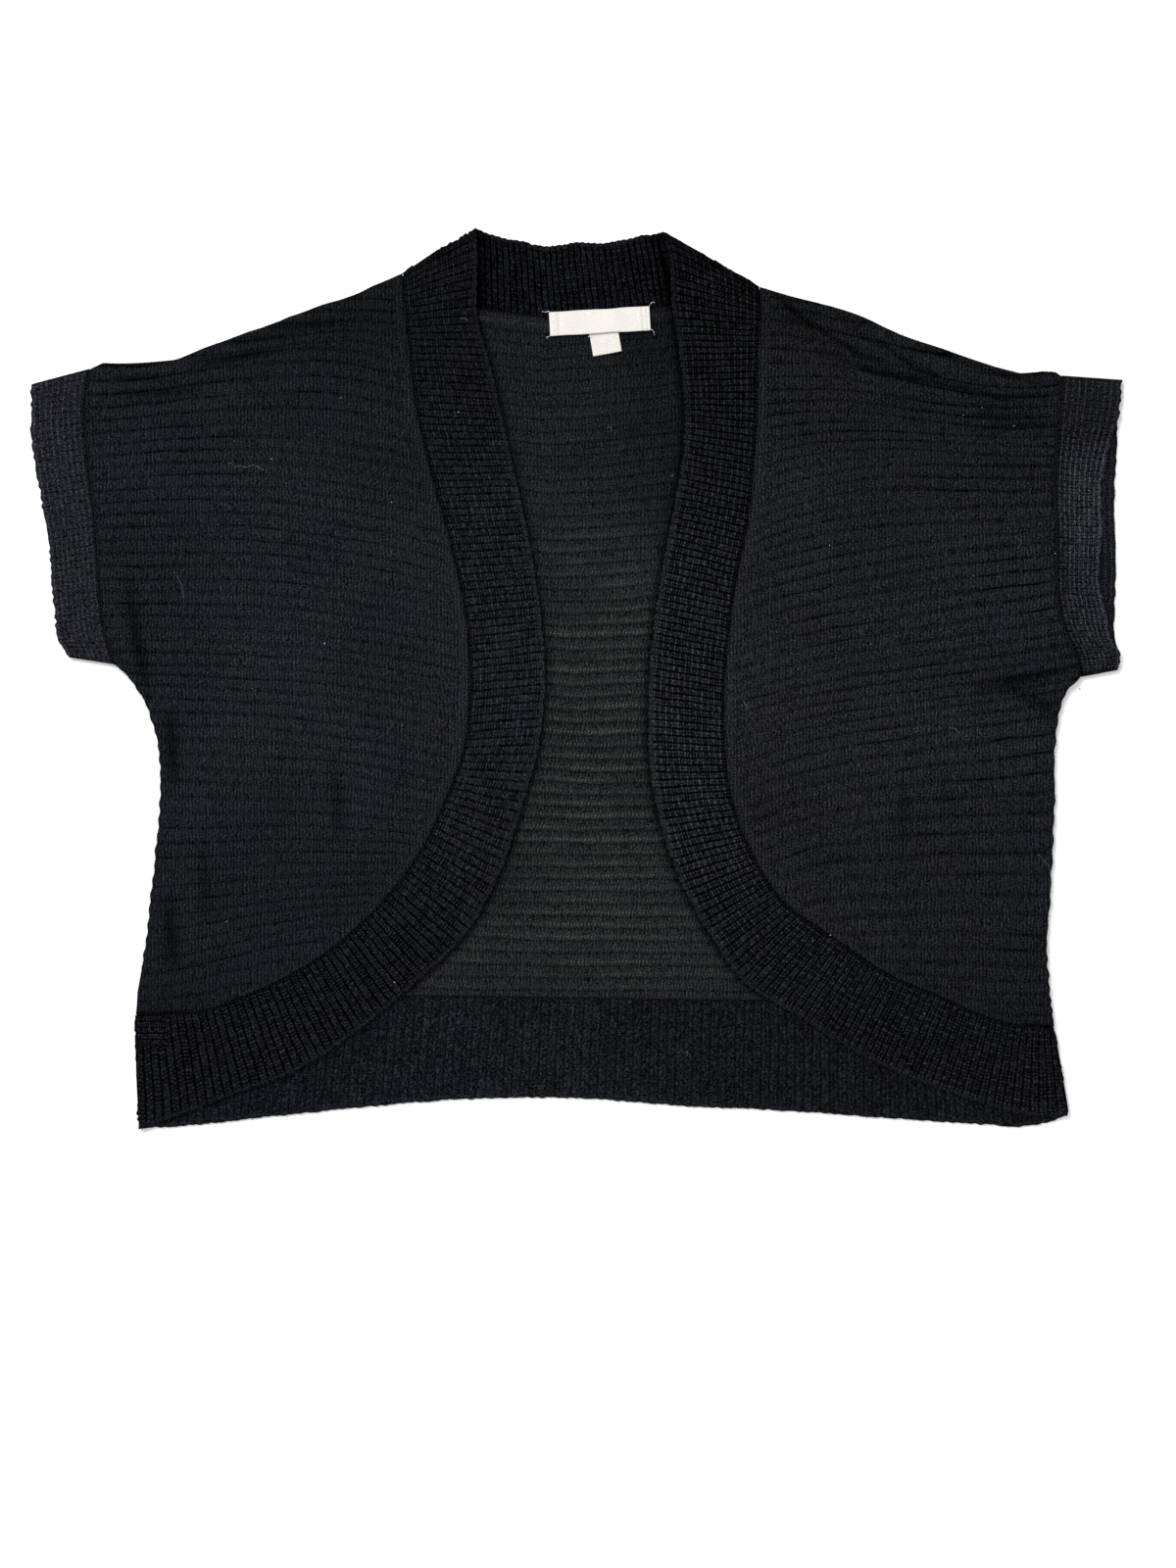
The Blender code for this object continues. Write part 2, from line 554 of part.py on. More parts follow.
def cuff_ring(front_ribs, half_height):
    """One turn of a flattened cuff: up its front, round a fold, down its back, round the other.

    For each point: its share of the width, its height from the middle, how far it lies out
    past the folds, its layer (0 front, 1 back) and whether it is on a rib's crest. The folds
    are half circles.
    """
    front = np.linspace(0.0, 1.0, front_ribs * ROWS_A_RIB + 1)
    back = np.linspace(1.0, 0.0, CUFF_BACK_STEPS + 1)
    angle = np.linspace(0.0, np.pi, CUFF_TURN_STEPS + 1)[1:-1]
    share = np.concatenate([front, np.ones_like(angle), back, np.zeros_like(angle)])
    height = np.concatenate([
        np.full_like(front, half_height), half_height * np.cos(angle),
        np.full_like(back, -half_height), -half_height * np.cos(angle),
    ])
    out = half_height * np.sin(angle)
    reach = np.concatenate([np.zeros_like(front), out, np.zeros_like(back), -out])
    turned = np.linspace(0.0, 1.0, len(angle))
    layer = np.concatenate([np.zeros_like(front), turned, np.ones_like(back), turned[::-1]])
    rib = np.concatenate([crests(len(front)), np.zeros(len(share) - len(front))])
    return share, height, reach, layer, rib


def make_cuff(name, seam, edge_front, edge_back, leans, material):
    """A flattened tube from the sleeve seam to the cuff's free edge, with its back on the surface."""
    ribs = round(seam.length / CUFF_PITCH)
    half = BAND_WALL + CUFF_HOLLOW / 2
    inset = half / seam.length
    across = np.asarray(CUFF_ACROSS)

    def surface(half_height, rise):
        share, height, reach, layer, rib = cuff_ring(ribs, half_height)
        down = 1 - inset - (1 - 2 * inset) * share - reach / seam.length
        lean = np.interp(down, (0.0, 1.0), leans) * from_edge(down, CUFF_LEAN_SHARE)
        end_down = down + lean * (1 - layer) / seam.length
        front = edge_front.at_share(end_down)
        back = edge_back.at_share(end_down)
        end = front * (1 - layer[:, None]) + back * layer[:, None]
        plan = between(seam.at_share(down), end, across)
        lift = rise * rib[:, None] * thin_edges(across, CUFF_EDGE_ACROSS)[None, :]
        return np.dstack([plan, half + height[:, None] + lift])

    outer = surface(half, BAND_RISE)
    inner = surface(CUFF_HOLLOW / 2, 0.0)
    around, columns = outer.shape[:2]
    inner = inner[:, [0, columns - 1]]
    points = np.vstack([outer.reshape(-1, 3), inner.reshape(-1, 3)])
    outside = np.arange(around * columns).reshape(around, columns)
    inside = around * columns + np.arange(around * 2).reshape(around, 2)
    ring = np.hstack([outside, inside[:, ::-1]])  # out along the outer wall and back along the inner
    faces = []
    for here, after in zip(ring, np.roll(ring, -1, axis=0)):
        for j, k in zip(range(len(here)), np.roll(range(len(here)), -1)):
            faces.append((int(here[j]), int(after[j]), int(after[k]), int(here[k])))
    return make_object(name, points, faces, material)


# ------------------------------------------------------------------ labels


def make_label(name, row, material):
    """A bare rectangle of woven tape, turned by its tilt in degrees and lying at its base height."""
    size = dict(zip(LABEL_COLUMNS, row))
    mesh = bpy.data.meshes.new(name)
    body = bmesh.new()
    bmesh.ops.create_cube(body, size=1.0)
    sides = (size["length"] * MM, size["width"] * MM, size["thick"] * MM)
    bmesh.ops.scale(body, vec=sides, verts=body.verts)
    bmesh.ops.bevel(body, geom=body.edges[:], offset=TAPE_BEVEL * MM, segments=1, affect="EDGES")
    body.to_mesh(mesh)
    body.free()
    mesh.materials.append(material)
    obj = bpy.data.objects.new(name, mesh)
    obj.location = (size["x"] * MM, size["y"] * MM, (size["base"] + size["thick"] / 2) * MM)
    obj.rotation_euler = (0.0, 0.0, math.radians(size["tilt"]))
    bpy.data.collections[COLLECTION].objects.link(obj)
    return obj


# ------------------------------------------------------------------ the garment


def make_material(name, colour, roughness):
    """A plain cloth material."""
    material = bpy.data.materials.new(name)
    material.use_nodes = True
    shader = material.node_tree.nodes["Principled BSDF"]
    shader.inputs["Base Color"].default_value = (*colour, 1.0)
    shader.inputs["Roughness"].default_value = roughness
    shader.inputs["Metallic"].default_value = 0.0
    material.diffuse_color = (*colour, 1.0)
    return material


def clear_scene():
    """Removes what the startup file holds."""
    for obj in list(bpy.data.objects):
        bpy.data.objects.remove(obj, do_unlink=True)


def main():
    """Makes the garment from its lowest layer up."""
    clear_scene()
    bpy.context.scene.collection.children.link(bpy.data.collections.new(COLLECTION))
    ripple = make_material(*RIPPLE_KNIT)
    waffle = make_material(*WAFFLE_KNIT)
    tape = make_material(*WOVEN_TAPE)

    make_back(ripple)
    make_hem(waffle)
    make_neck(waffle)

    side_left = SIDE_LEFT[:-1] + [FRONT_CORNER_LEFT]
    side_right = SIDE_RIGHT[:-1] + [FRONT_CORNER_RIGHT]
    outline_left = (Line(SHOULDER_LEFT), Line(CUFF_SEAM_LEFT, SLEEVE_GAP), Line(side_left))
    outline_right = (Line(SHOULDER_RIGHT), Line(CUFF_SEAM_RIGHT, -SLEEVE_GAP), Line(side_right))
    inner_left = Line(BAND_SEAM_LEFT, -SEAM_GAP)
    inner_right = Line(BAND_SEAM_RIGHT, SEAM_GAP)
    make_front("front_panel_left", outline_left, inner_left, STATIONS_LEFT, FOLDS_LEFT, ripple)
    make_front("front_panel_right", outline_right, inner_right, STATIONS_RIGHT, FOLDS_RIGHT, ripple)
    seam_left, edge_left = Line(BAND_SEAM_LEFT), Line(BAND_EDGE_LEFT)
    seam_right, edge_right = Line(BAND_SEAM_RIGHT), Line(BAND_EDGE_RIGHT)
    make_band("front_band_left", seam_left, edge_left, BAND_RIBS_LEFT, waffle)
    make_band("front_band_right", seam_right, edge_right, BAND_RIBS_RIGHT, waffle)

    sleeve_left, cuff_end_left = Line(CUFF_SEAM_LEFT), Line(CUFF_EDGE_LEFT)
    sleeve_right = Line(CUFF_SEAM_RIGHT)
    front_end, back_end = Line(CUFF_EDGE_RIGHT_FRONT), Line(CUFF_EDGE_RIGHT_BACK)
    make_cuff("cuff_left", sleeve_left, cuff_end_left, cuff_end_left, CUFF_LEAN_LEFT, waffle)
    make_cuff("cuff_right", sleeve_right, front_end, back_end, CUFF_LEAN_RIGHT, waffle)

    make_label("neck_label", NECK_LABEL, tape)
    make_label("size_label", SIZE_LABEL, tape)


main()
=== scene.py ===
"""Looks of a knitted shrug with short sleeves and an open front, laid flat with its front up.

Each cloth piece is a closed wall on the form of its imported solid, with the rows and ribs of its
knit worked out point by point. Seams, labels, loose fibres and fuzz are separate pieces.
Tables and sizes are in millimetres: x to the right, y towards the neck, z up from the surface.
Meshes are in metres.
"""

from __future__ import annotations

import json
import logging
import math
from dataclasses import dataclass, field
from enum import Enum
from functools import cached_property, partialmethod

import bmesh
import bpy
import numpy as np
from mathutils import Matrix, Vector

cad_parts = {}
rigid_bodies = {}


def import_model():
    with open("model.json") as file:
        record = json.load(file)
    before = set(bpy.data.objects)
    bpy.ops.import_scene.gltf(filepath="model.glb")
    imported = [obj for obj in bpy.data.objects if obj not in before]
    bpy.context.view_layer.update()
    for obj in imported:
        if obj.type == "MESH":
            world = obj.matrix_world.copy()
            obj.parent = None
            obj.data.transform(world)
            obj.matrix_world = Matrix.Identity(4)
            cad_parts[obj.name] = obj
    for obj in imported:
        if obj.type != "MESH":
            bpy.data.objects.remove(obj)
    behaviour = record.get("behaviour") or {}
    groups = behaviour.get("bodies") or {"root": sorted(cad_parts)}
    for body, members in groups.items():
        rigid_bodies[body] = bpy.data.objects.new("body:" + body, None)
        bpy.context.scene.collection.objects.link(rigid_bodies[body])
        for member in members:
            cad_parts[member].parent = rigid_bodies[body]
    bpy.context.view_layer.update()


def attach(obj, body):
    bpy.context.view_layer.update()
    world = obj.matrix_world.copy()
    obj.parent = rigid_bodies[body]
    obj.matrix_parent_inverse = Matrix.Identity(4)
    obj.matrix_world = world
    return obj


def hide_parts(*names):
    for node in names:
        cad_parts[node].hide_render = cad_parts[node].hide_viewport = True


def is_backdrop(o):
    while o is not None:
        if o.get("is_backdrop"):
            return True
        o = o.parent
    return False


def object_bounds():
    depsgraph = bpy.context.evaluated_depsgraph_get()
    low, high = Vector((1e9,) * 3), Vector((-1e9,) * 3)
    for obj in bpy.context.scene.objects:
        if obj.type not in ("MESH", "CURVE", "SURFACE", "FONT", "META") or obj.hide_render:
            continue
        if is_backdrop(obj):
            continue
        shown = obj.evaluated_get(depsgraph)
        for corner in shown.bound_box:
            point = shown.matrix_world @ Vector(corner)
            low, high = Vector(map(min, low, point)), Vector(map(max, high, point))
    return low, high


LOG = logging.getLogger("shrug")
MM = 0.001
BODY = "root"

Array = np.ndarray
Colour = tuple[float, float, float]
Table = list[tuple[float, ...]]
Pair = tuple[float, float]
Steps = tuple[Pair, ...]
Layers = dict[str, np.ndarray]
Material = bpy.types.Material
Tree = bpy.types.NodeTree
Node = bpy.types.Node
Socket = bpy.types.NodeSocket
Outputs = bpy.types.bpy_prop_collection
Object = bpy.types.Object

# ---- sizes shared with the solids

SEAM_GAP = 0.4
SLEEVE_GAP = 0.9
LAYER_GAP = 0.3
BODY_WALL = 1.6
BODY_RISE = 0.5
BAND_WALL = 1.8
BAND_RISE = 0.6
FRONT_BASE = BODY_WALL + BODY_RISE + LAYER_GAP
OVER_BAND_BASE = BAND_WALL + BAND_RISE + LAYER_GAP
AIR = 1.6
TAPE_WALL = 0.5
RIBS = 56
RIB_PITCH = 7.4
WALE = 2.02
COURSE = 1.64
DOT = 1.76
COLUMN = 1.18

# ---- lines in plan

SHOULDER_LEFT: Table = [
    (-102, 238), (-115, 232.3), (-121, 230), (-127, 226.6), (-137, 223), (-150, 219), (-177, 209),
    (-212, 196.5), (-246, 184.5), (-263, 183.5), (-281, 184.5), (-285.6, 182),
]
SHOULDER_RIGHT: Table = [
    (107, 230), (125, 224.5), (151, 218), (170, 211.5), (188, 202.5), (218, 192.5), (249, 182),
    (266, 178.5), (280, 180.5), (284.6, 178),
]
CUFF_SEAM_LEFT: Table = [
    (-286, 182), (-289, 160), (-287, 128), (-283, 93), (-280.5, 60), (-277.5, 30), (-271.5, 8.5),
]
CUFF_SEAM_RIGHT: Table = [
    (285, 178), (283, 151), (281, 118), (282, 76), (282.5, 48), (287, 28), (294, 12), (296, 1),
]
SIDE_LEFT: Table = [
    (-271.5, 8.5), (-264, 2), (-254, -13), (-246, -38), (-244.5, -70), (-248, -110), (-253, -154),
    (-258.2, -184),
]
SIDE_RIGHT: Table = [
    (296, 1), (288, -7), (283, -20), (280.5, -40), (280.5, -66), (278, -125), (276, -155), (277, -191),
]
FRONT_CORNER_LEFT = (-258.7, -197.0)
FRONT_CORNER_RIGHT = (280.0, -204.0)
HEM_SEAM: Table = [(-258.2, -184), (277, -191)]
HEM_EDGE: Table = [
    (-257, -264.5), (-227, -262.5), (-185, -258), (-123, -251.5), (-75, -247.5), (0, -246.5),
    (63, -251), (125, -254), (187, -258.5), (239, -262), (262, -263), (280, -259.5), (288, -256.5),
]
NECK_EDGE: Table = [
    (-59, 264.5), (-50, 261), (-31, 257), (-19, 254), (0, 256.5), (20, 256.5), (36, 260), (50, 262.5),
]
NECK_SEAM: Table = [(-102, 237), (-57, 217), (-17, 212), (20, 214.5), (55, 219), (107, 229)]
BAND_SEAM_LEFT: Table = [
    (-102, 238), (-98.5, 203), (-94, 162), (-85, 122), (-73, 78), (-63.5, 30), (-62, 0), (-65, -38),
    (-77, -73), (-95, -108), (-120, -138), (-154, -166), (-189, -184), (-223, -196), (-259, -197.5),
]
BAND_EDGE_LEFT: Table = [
    (-59, 264.5), (-58, 245), (-58, 213), (-50, 182), (-40, 138), (-27, 77), (-20, 30), (-18.5, -5),
    (-22, -38), (-31, -73), (-47, -119), (-64, -149), (-97, -181), (-131, -209), (-166, -231),
    (-200, -244), (-235, -257), (-257, -264.5),
]
BAND_SEAM_RIGHT: Table = [
    (107, 230), (105.5, 180), (104, 134), (100, 93), (93, 58), (87.5, 15), (86, -30), (89, -65),
    (99, -96), (119, -129), (150, -152), (185, -175), (214, -187), (237, -197.5), (260, -203.5),
    (280, -205),
]
BAND_EDGE_RIGHT: Table = [
    (50, 262.5), (53, 253), (56, 220), (61, 185), (63.5, 150), (61, 122), (52, 75), (44.5, 24), (42, -20),
    (43, -50), (49, -85), (61, -119), (79, -152), (97, -177), (133, -200), (168, -222), (202, -237),
    (237, -249), (271, -257), (288, -256.5),
]
CUFF_EDGE_LEFT: Table = [
    (-320, 173), (-320, 145), (-315, 110), (-309.5, 76), (-306.5, 42), (-303.5, 22), (-298, 12.5),
]
CUFF_EDGE_RIGHT_BACK: Table = [
    (320, 175.5), (318, 154), (317.5, 134), (316, 110), (316, 88), (317, 65), (316, 42), (316, 24),
    (319, 11), (317, 5),
]
CUFF_EDGE_RIGHT_FRONT: Table = [
    (320, 175.5), (318, 155), (313, 137), (309, 122), (308, 88), (307, 53), (310, 40), (313, 25),
    (319, 11), (317, 5),
]

# ---- courses of the ribs

# Columns: rib, outer (how far along the three outer lines), band_y, bow_side, bow_band.
STATIONS_LEFT: Table = [
    (0, 0, 237, 0, 0), (3.5, 0.37, 210, 1, 1.5), (6, 0.72, 190.5, 3, 7.5), (7, 1, 182.5, 4, 10),
    (12.5, 1.24, 132, 7, 9), (19, 1.5, 75.5, 8, 9), (25.5, 1.77, 28, 5, 6), (31, 2, -11, 4.5, 6),
    (37.5, 2.26, -58.5, 4, 5.5), (43, 2.48, -93, 2, 4), (48.5, 2.71, -124.5, 1, 3),
    (53.5, 2.91, -158, 0, 2), (56, 3, -195.5, 0, 0),
]
STATIONS_RIGHT: Table = [
    (0, 0, 229, 0, 0), (2.5, 0.45, 214, -1, 1), (4.5, 1, 197, -4.5, 1), (8, 1.11, 168, -2.5, 3),
    (15.5, 1.3, 110.5, 7, 10), (23, 1.52, 53, 5, 8.5), (30, 1.82, -4, 2, 5.5), (34.5, 2, -35.5, 2.5, 7),
    (38, 2.14, -62, 4, 8.5), (43.5, 2.43, -108, 5, 10), (49, 2.75, -151, 1.5, 3),
    (52.5, 2.9, -177, -1, 0), (56, 3, -203, 0, 0),
]
HIDDEN_RIGHT = (7.07, 11.07, 15.07, 19.07, 22.07)
THIRD_BOW = 13.5
COOLNESS = ((-320, -150, -60, 60, 180, 320), (1.0, 0.85, 0.4, 0.25, 0.45, 0.75))
AIR_ACROSS = 0.30
AIR_DOWN = 0.12
RISE_TO_HEM = (160.0, 178.0)

# Columns: travel, pitch, lean.
BAND_RIBS_LEFT: Table = [
    (0, 4.35, 0), (25, 4.35, 13), (50, 4.3, 17.8), (75, 4.25, 17.5), (100, 4.15, 12.5), (150, 4.15, 0),
    (200, 4.5, -11), (250, 4.65, -21), (300, 5, -26), (350, 5, -16), (400, 4.8, -11), (475, 4.7, -7.5),
    (550, 4.95, -5), (603, 4.6, 0),
]
BAND_RIBS_RIGHT: Table = [
    (0, 3.65, 0), (25, 3.65, 17), (50, 3.7, 24), (75, 3.85, 20.5), (100, 4, 9), (150, 4, -5),
    (200, 4.05, -14.5), (250, 4, -21.5), (300, 4.15, -24.5), (350, 4.4, -22.5), (400, 4.3, -15.5),
    (450, 4.1, -9), (500, 4.1, -10.5), (550, 4.4, -12.5), (585, 4.35, -9), (607, 4.3, 0),
]
# Columns: row, edge_x, seam_x.
NECK_ROWS: Table = [
    (0, -59, -102), (2, -58.5, -79), (4, -58, -57), (64, 47, 55), (66, 48.5, 81), (68, 50, 107),
]
NECK_PITCH = 3.6
HEM_PITCH = 4.95
HEM_LEAN = -9.0
HEM_LEAN_SHARE = 0.2
HEM_BOW = 1.5
HEM_BOW_SHARE = 0.04
EDGE_ROLL = 1.2
CUFF_PITCH = 3.85
PATCH_PITCH = 3.5
CUFF_LEAN_LEFT = (-6.0, 8.5)
CUFF_LEAN_RIGHT = (3.0, 3.0)
CUFF_LEAN_SHARE = 0.15
CUFF_HOLLOW = 1.0
WAFFLE_PITCH = 4.4
DEEP_STRETCH = (360.0, 450.0)
NECK_ROLL = 2.4
NECK_ROLL_LENGTH = 46.0
NECK_LABEL_CENTRE = (13.5, 209.6)
NECK_LABEL_TILT = 3.4
STITCHES_X = 27.3
STITCHES_Y = 5.6

# ---- folds and creases
# A fold lifts or lowers the cloth along a short line. A crease is a narrow trough in its face.
# Columns of both: from_x, from_y, to_x, to_y, width, height.

FOLD_END = 0.15
CREASE_DEPTH = 1.2
CREASE_SHADE = 0.65
FOLDS_LEFT: Table = [
    (-269, 52, -258, 2, 8, 3.2), (-245, 70, -249, -28, 9, -1.8), (-230, 40, -236, -30, 12, 1.4),
    (-262, 174, -170, 196, 5, 1.6), (-258, 160, -165, 180, 4, -1.4), (-250, 150, -160, 168, 5, 1),
    (-236, -28, -238, -64, 7, -1.6), (-238, -122, -236, -172, 7, -1.5), (-140, -50, -138, -98, 8, -1.4),
    (-120, -45, -120, -100, 9, 1.2), (-182, -52, -186, -118, 9, 1.3), (-215, -60, -222, -165, 11, 1.5),
]
FOLDS_RIGHT: Table = [
    (294, 18, 268, -16, 9, 2.8), (282, -4, 232, -8, 7, -1.6), (116, 222, 170, 188, 5, 1.8),
    (112, 214, 158, 180, 4, -1.4), (162, 178, 262, 172, 5, -1.5), (170, 170, 270, 164, 6, 1.4),
    (230, 150, 282, 150, 6, -1.2), (156, -146, 246, -188, 9, 2.2), (195, -62, 198, -108, 8, -1.5),
    (214, -58, 216, -120, 10, 1.4), (248, -60, 252, -150, 11, 1.4), (150, -20, 158, -84, 12, 1),
]
CREASES_LEFT: Table = [
    (-177, 205.6, -137, 207.3, 2.2, 0.8), (-200, 197, -166, 200, 2.2, 0.7),
    (-223, 184, -177, 191, 2.4, 0.9), (-269, 175, -243, 176, 2, 0.8), (-269, 166, -223, 168, 2.2, 0.8),
    (-263.6, 59, -251, -10, 3.4, 0.9), (-239, -20, -236, -60, 4.5, 1), (-239, -128, -237, -170, 4, 0.9),
    (-219, -100, -217, -138, 4, 0.6), (-141, -48, -139, -94, 4.5, 0.5),
]
CREASES_RIGHT: Table = [
    (116, 226, 138, 204, 1.6, 0.8), (122, 219, 147, 201, 1.8, 0.8), (143, 204, 166, 189, 1.8, 0.8),
    (160, 193, 184, 182, 2, 0.8), (161, 204, 184, 192, 1.8, 0.6), (180, 196, 196, 183, 1.8, 0.7),
    (190, 187, 212, 176, 1.8, 0.7), (143, 192, 174, 179, 1.8, 0.7), (167, 182, 202, 174, 2.2, 1),
    (196, 177, 228, 169, 2.2, 1), (222, 171, 252, 163, 2.2, 1), (246, 164, 276, 167, 2.2, 0.9),
    (208, 192, 234, 182, 1.8, 0.5), (228, 185, 256, 176, 1.8, 0.6), (250, 178, 276, 173, 1.8, 0.6),
    (231, 154, 272, 153.8, 2, 0.7), (236, 147, 282, 149.2, 2.2, 0.8), (236, -6, 291, 6, 3.2, 1),
    (254, -5, 282, -21, 4.5, 0.8), (192, -66, 192, -98, 4.5, 0.5),
]


# ---- smooth lines and noise


def glide(at: Array, knots: Array, values: Array) -> Array:
    """A smooth curve through a table: cubic pieces that take the table's mean slopes.

    Args:
        at: Where the curve is read.
        knots: The table's places, rising.
        values: The table's values at them.

    Returns:
        The curve's values.
    """
    knots = np.asarray(knots, float)
    values = np.asarray(values, float)
    slopes = np.gradient(values, knots)
    at = np.clip(at, knots[0], knots[-1])
    piece = np.clip(np.searchsorted(knots, at, side="right") - 1, 0, len(knots) - 2)
    step = knots[piece + 1] - knots[piece]
    t = (at - knots[piece]) / step
    start = (1 + 2 * t) * (1 - t) ** 2 * values[piece] + t * (1 - t) ** 2 * step * slopes[piece]
    end = t * t * (3 - 2 * t) * values[piece + 1] - t * t * (1 - t) * step * slopes[piece + 1]
    return start + end


def ramp(value: Array, low: float, high: float) -> Array:
    """0 below low, 1 above high and a soft step between: three squares less two cubes."""
    t = np.clip((value - low) / (high - low), 0.0, 1.0)
    return t * t * (3 - 2 * t)


def from_edge(shares: Array, margin: float) -> Array:
    """0 at both edges of a width and 1 further in than the margin."""
    return ramp(np.minimum(shares, 1 - shares), 0.0, margin)


def rim(distance: Array, radius: float) -> Array:
    """A quarter circle: 0 at an edge, 1 from one radius in."""
    return np.sqrt(1 - (1 - np.clip(distance / radius, 0.0, 1.0)) ** 2)


def bell(distance: Array, width: float) -> Array:
    """1 in the middle, fading as e to the minus square of the distance in widths."""
    return np.exp(-((distance / width) ** 2))


class Line:
    """A smooth line in plan, read by its share of the length, by its height y or by its x."""

    def __init__(self, points: Table, shift: float = 0.0, straight: bool = False) -> None:
        """Samples the line every millimetre and shifts it to its left.

        Args:
            points: Points that the line passes.
            shift: How far to the left of its own direction the line is moved.
            straight: Whether it runs straight from point to point.
        """
        table = np.array(points, float)
        reach = np.append(0.0, np.cumsum(np.linalg.norm(np.diff(table, axis=0), axis=1)))
        at = np.unique(np.append(np.arange(0.0, reach[-1], 1.0), reach))
        read = np.interp if straight else glide
        line = np.column_stack([read(at, reach, table[:, axis]) for axis in (0, 1)])
        along = np.gradient(line, axis=0)
        along /= np.linalg.norm(along, axis=1)[:, None]
        self.normal = np.column_stack([-along[:, 1], along[:, 0]])
        self.points = line + shift * self.normal
        steps = np.linalg.norm(np.diff(self.points, axis=0), axis=1)
        self.length = float(steps.sum())
        self.share = np.append(0.0, np.cumsum(steps)) / self.length

    def at_share(self, share: Array) -> Array:
        """Points at shares of the length, 0 to 1."""
        return np.column_stack([np.interp(share, self.share, self.points[:, axis]) for axis in (0, 1)])

    def normal_at(self, share: Array) -> Array:
        """Unit vectors to the line's left at shares of the length."""
        turned = np.column_stack([np.interp(share, self.share, self.normal[:, axis]) for axis in (0, 1)])
        return turned / np.linalg.norm(turned, axis=1)[:, None]

    def at_height(self, y: Array) -> Array:
        """Points at heights y of a line that only falls."""
        return np.column_stack([self.x_at(y), y])

    def at_width(self, x: Array) -> Array:
        """Points at places x of a line that only runs right."""
        return np.column_stack([x, np.interp(x, self.points[:, 0], self.points[:, 1])])

    def x_at(self, y: Array) -> Array:
        """The x of a falling line at any array of heights."""
        return np.interp(-y, -self.points[:, 1], self.points[:, 0])


@dataclass(frozen=True)
class SoftNoise:
    """Seeded noise from -1 to 1: random values on a square lattice, joined by soft steps."""

    seed: int
    cells: int = 128

    def at(self, x: Array, y: Array, wave: float, wave_y: float | None = None) -> Array:
        """The noise at points.

        Args:
            x: Places to the right.
            y: Places upwards, of the same shape.
            wave: Size of a lattice cell along x.
            wave_y: Its size along y, if that differs.

        Returns:
            Values from -1 to 1.
        """
        lattice = np.random.default_rng(self.seed).uniform(-1.0, 1.0, (self.cells, self.cells))
        over, up = np.broadcast_arrays(x / wave, y / (wave_y or wave))
        column, row = np.floor(over).astype(int), np.floor(up).astype(int)
        s, t = over - column, up - row
        s, t = s * s * (3 - 2 * s), t * t * (3 - 2 * t)
        near, far = column % self.cells, (column + 1) % self.cells
        low, high = row % self.cells, (row + 1) % self.cells
        bottom = lattice[low, near] * (1 - s) + lattice[low, far] * s
        top = lattice[high, near] * (1 - s) + lattice[high, far] * s
        return bottom * (1 - t) + top * t


def between(start: Array, end: Array, share: Array) -> Array:
    """Points on straight rows: share 0 on the start line and 1 on the end line."""
    share = np.asarray(share)[None, :, None]
    return start[:, None, :] * (1 - share) + end[:, None, :] * share


def strokes(x: Array, y: Array, table: Table) -> Array:
    """Height of short soft strokes: a bell across each line, half a sine wave along it."""
    lift = np.zeros(x.shape)
    for from_x, from_y, to_x, to_y, width, height in table:
        run = np.array([to_x - from_x, to_y - from_y], float)
        near = np.clip(((x - from_x) * run[0] + (y - from_y) * run[1]) / (run @ run), 0.0, 1.0)
        away = np.hypot(x - from_x - near * run[0], y - from_y - near * run[1])
        fade = np.sin(np.pi * (FOLD_END + (1 - 2 * FOLD_END) * near))
        lift += height * fade * bell(away, width)
    return lift


RIM_STEPS = (0.0, 0.12, 0.36, 0.75, 1.3)
LEAST_STEP = 0.05
RELIEF_STARTS = (0.2, 1.8)


def steps_with_ends(even: Array, length: float, ends: tuple[float, ...] = RIM_STEPS) -> Array:
    """Even steps from 0 to a length, with closer ones at both ends, where an edge rounds over."""
    near = np.array(ends)
    at = np.sort(np.concatenate([even, near, length - near]))
    at = at[(at >= 0) & (at <= length)]
    at = at[np.append(True, np.diff(at) > LEAST_STEP)]
    at[0], at[-1] = 0.0, length
    return at


# ---- meshes


def placed(name: str, data: bpy.types.ID) -> Object:
    """A new object of the scene."""
    obj = bpy.data.objects.new(name, data)
    bpy.context.scene.collection.objects.link(obj)
    return obj


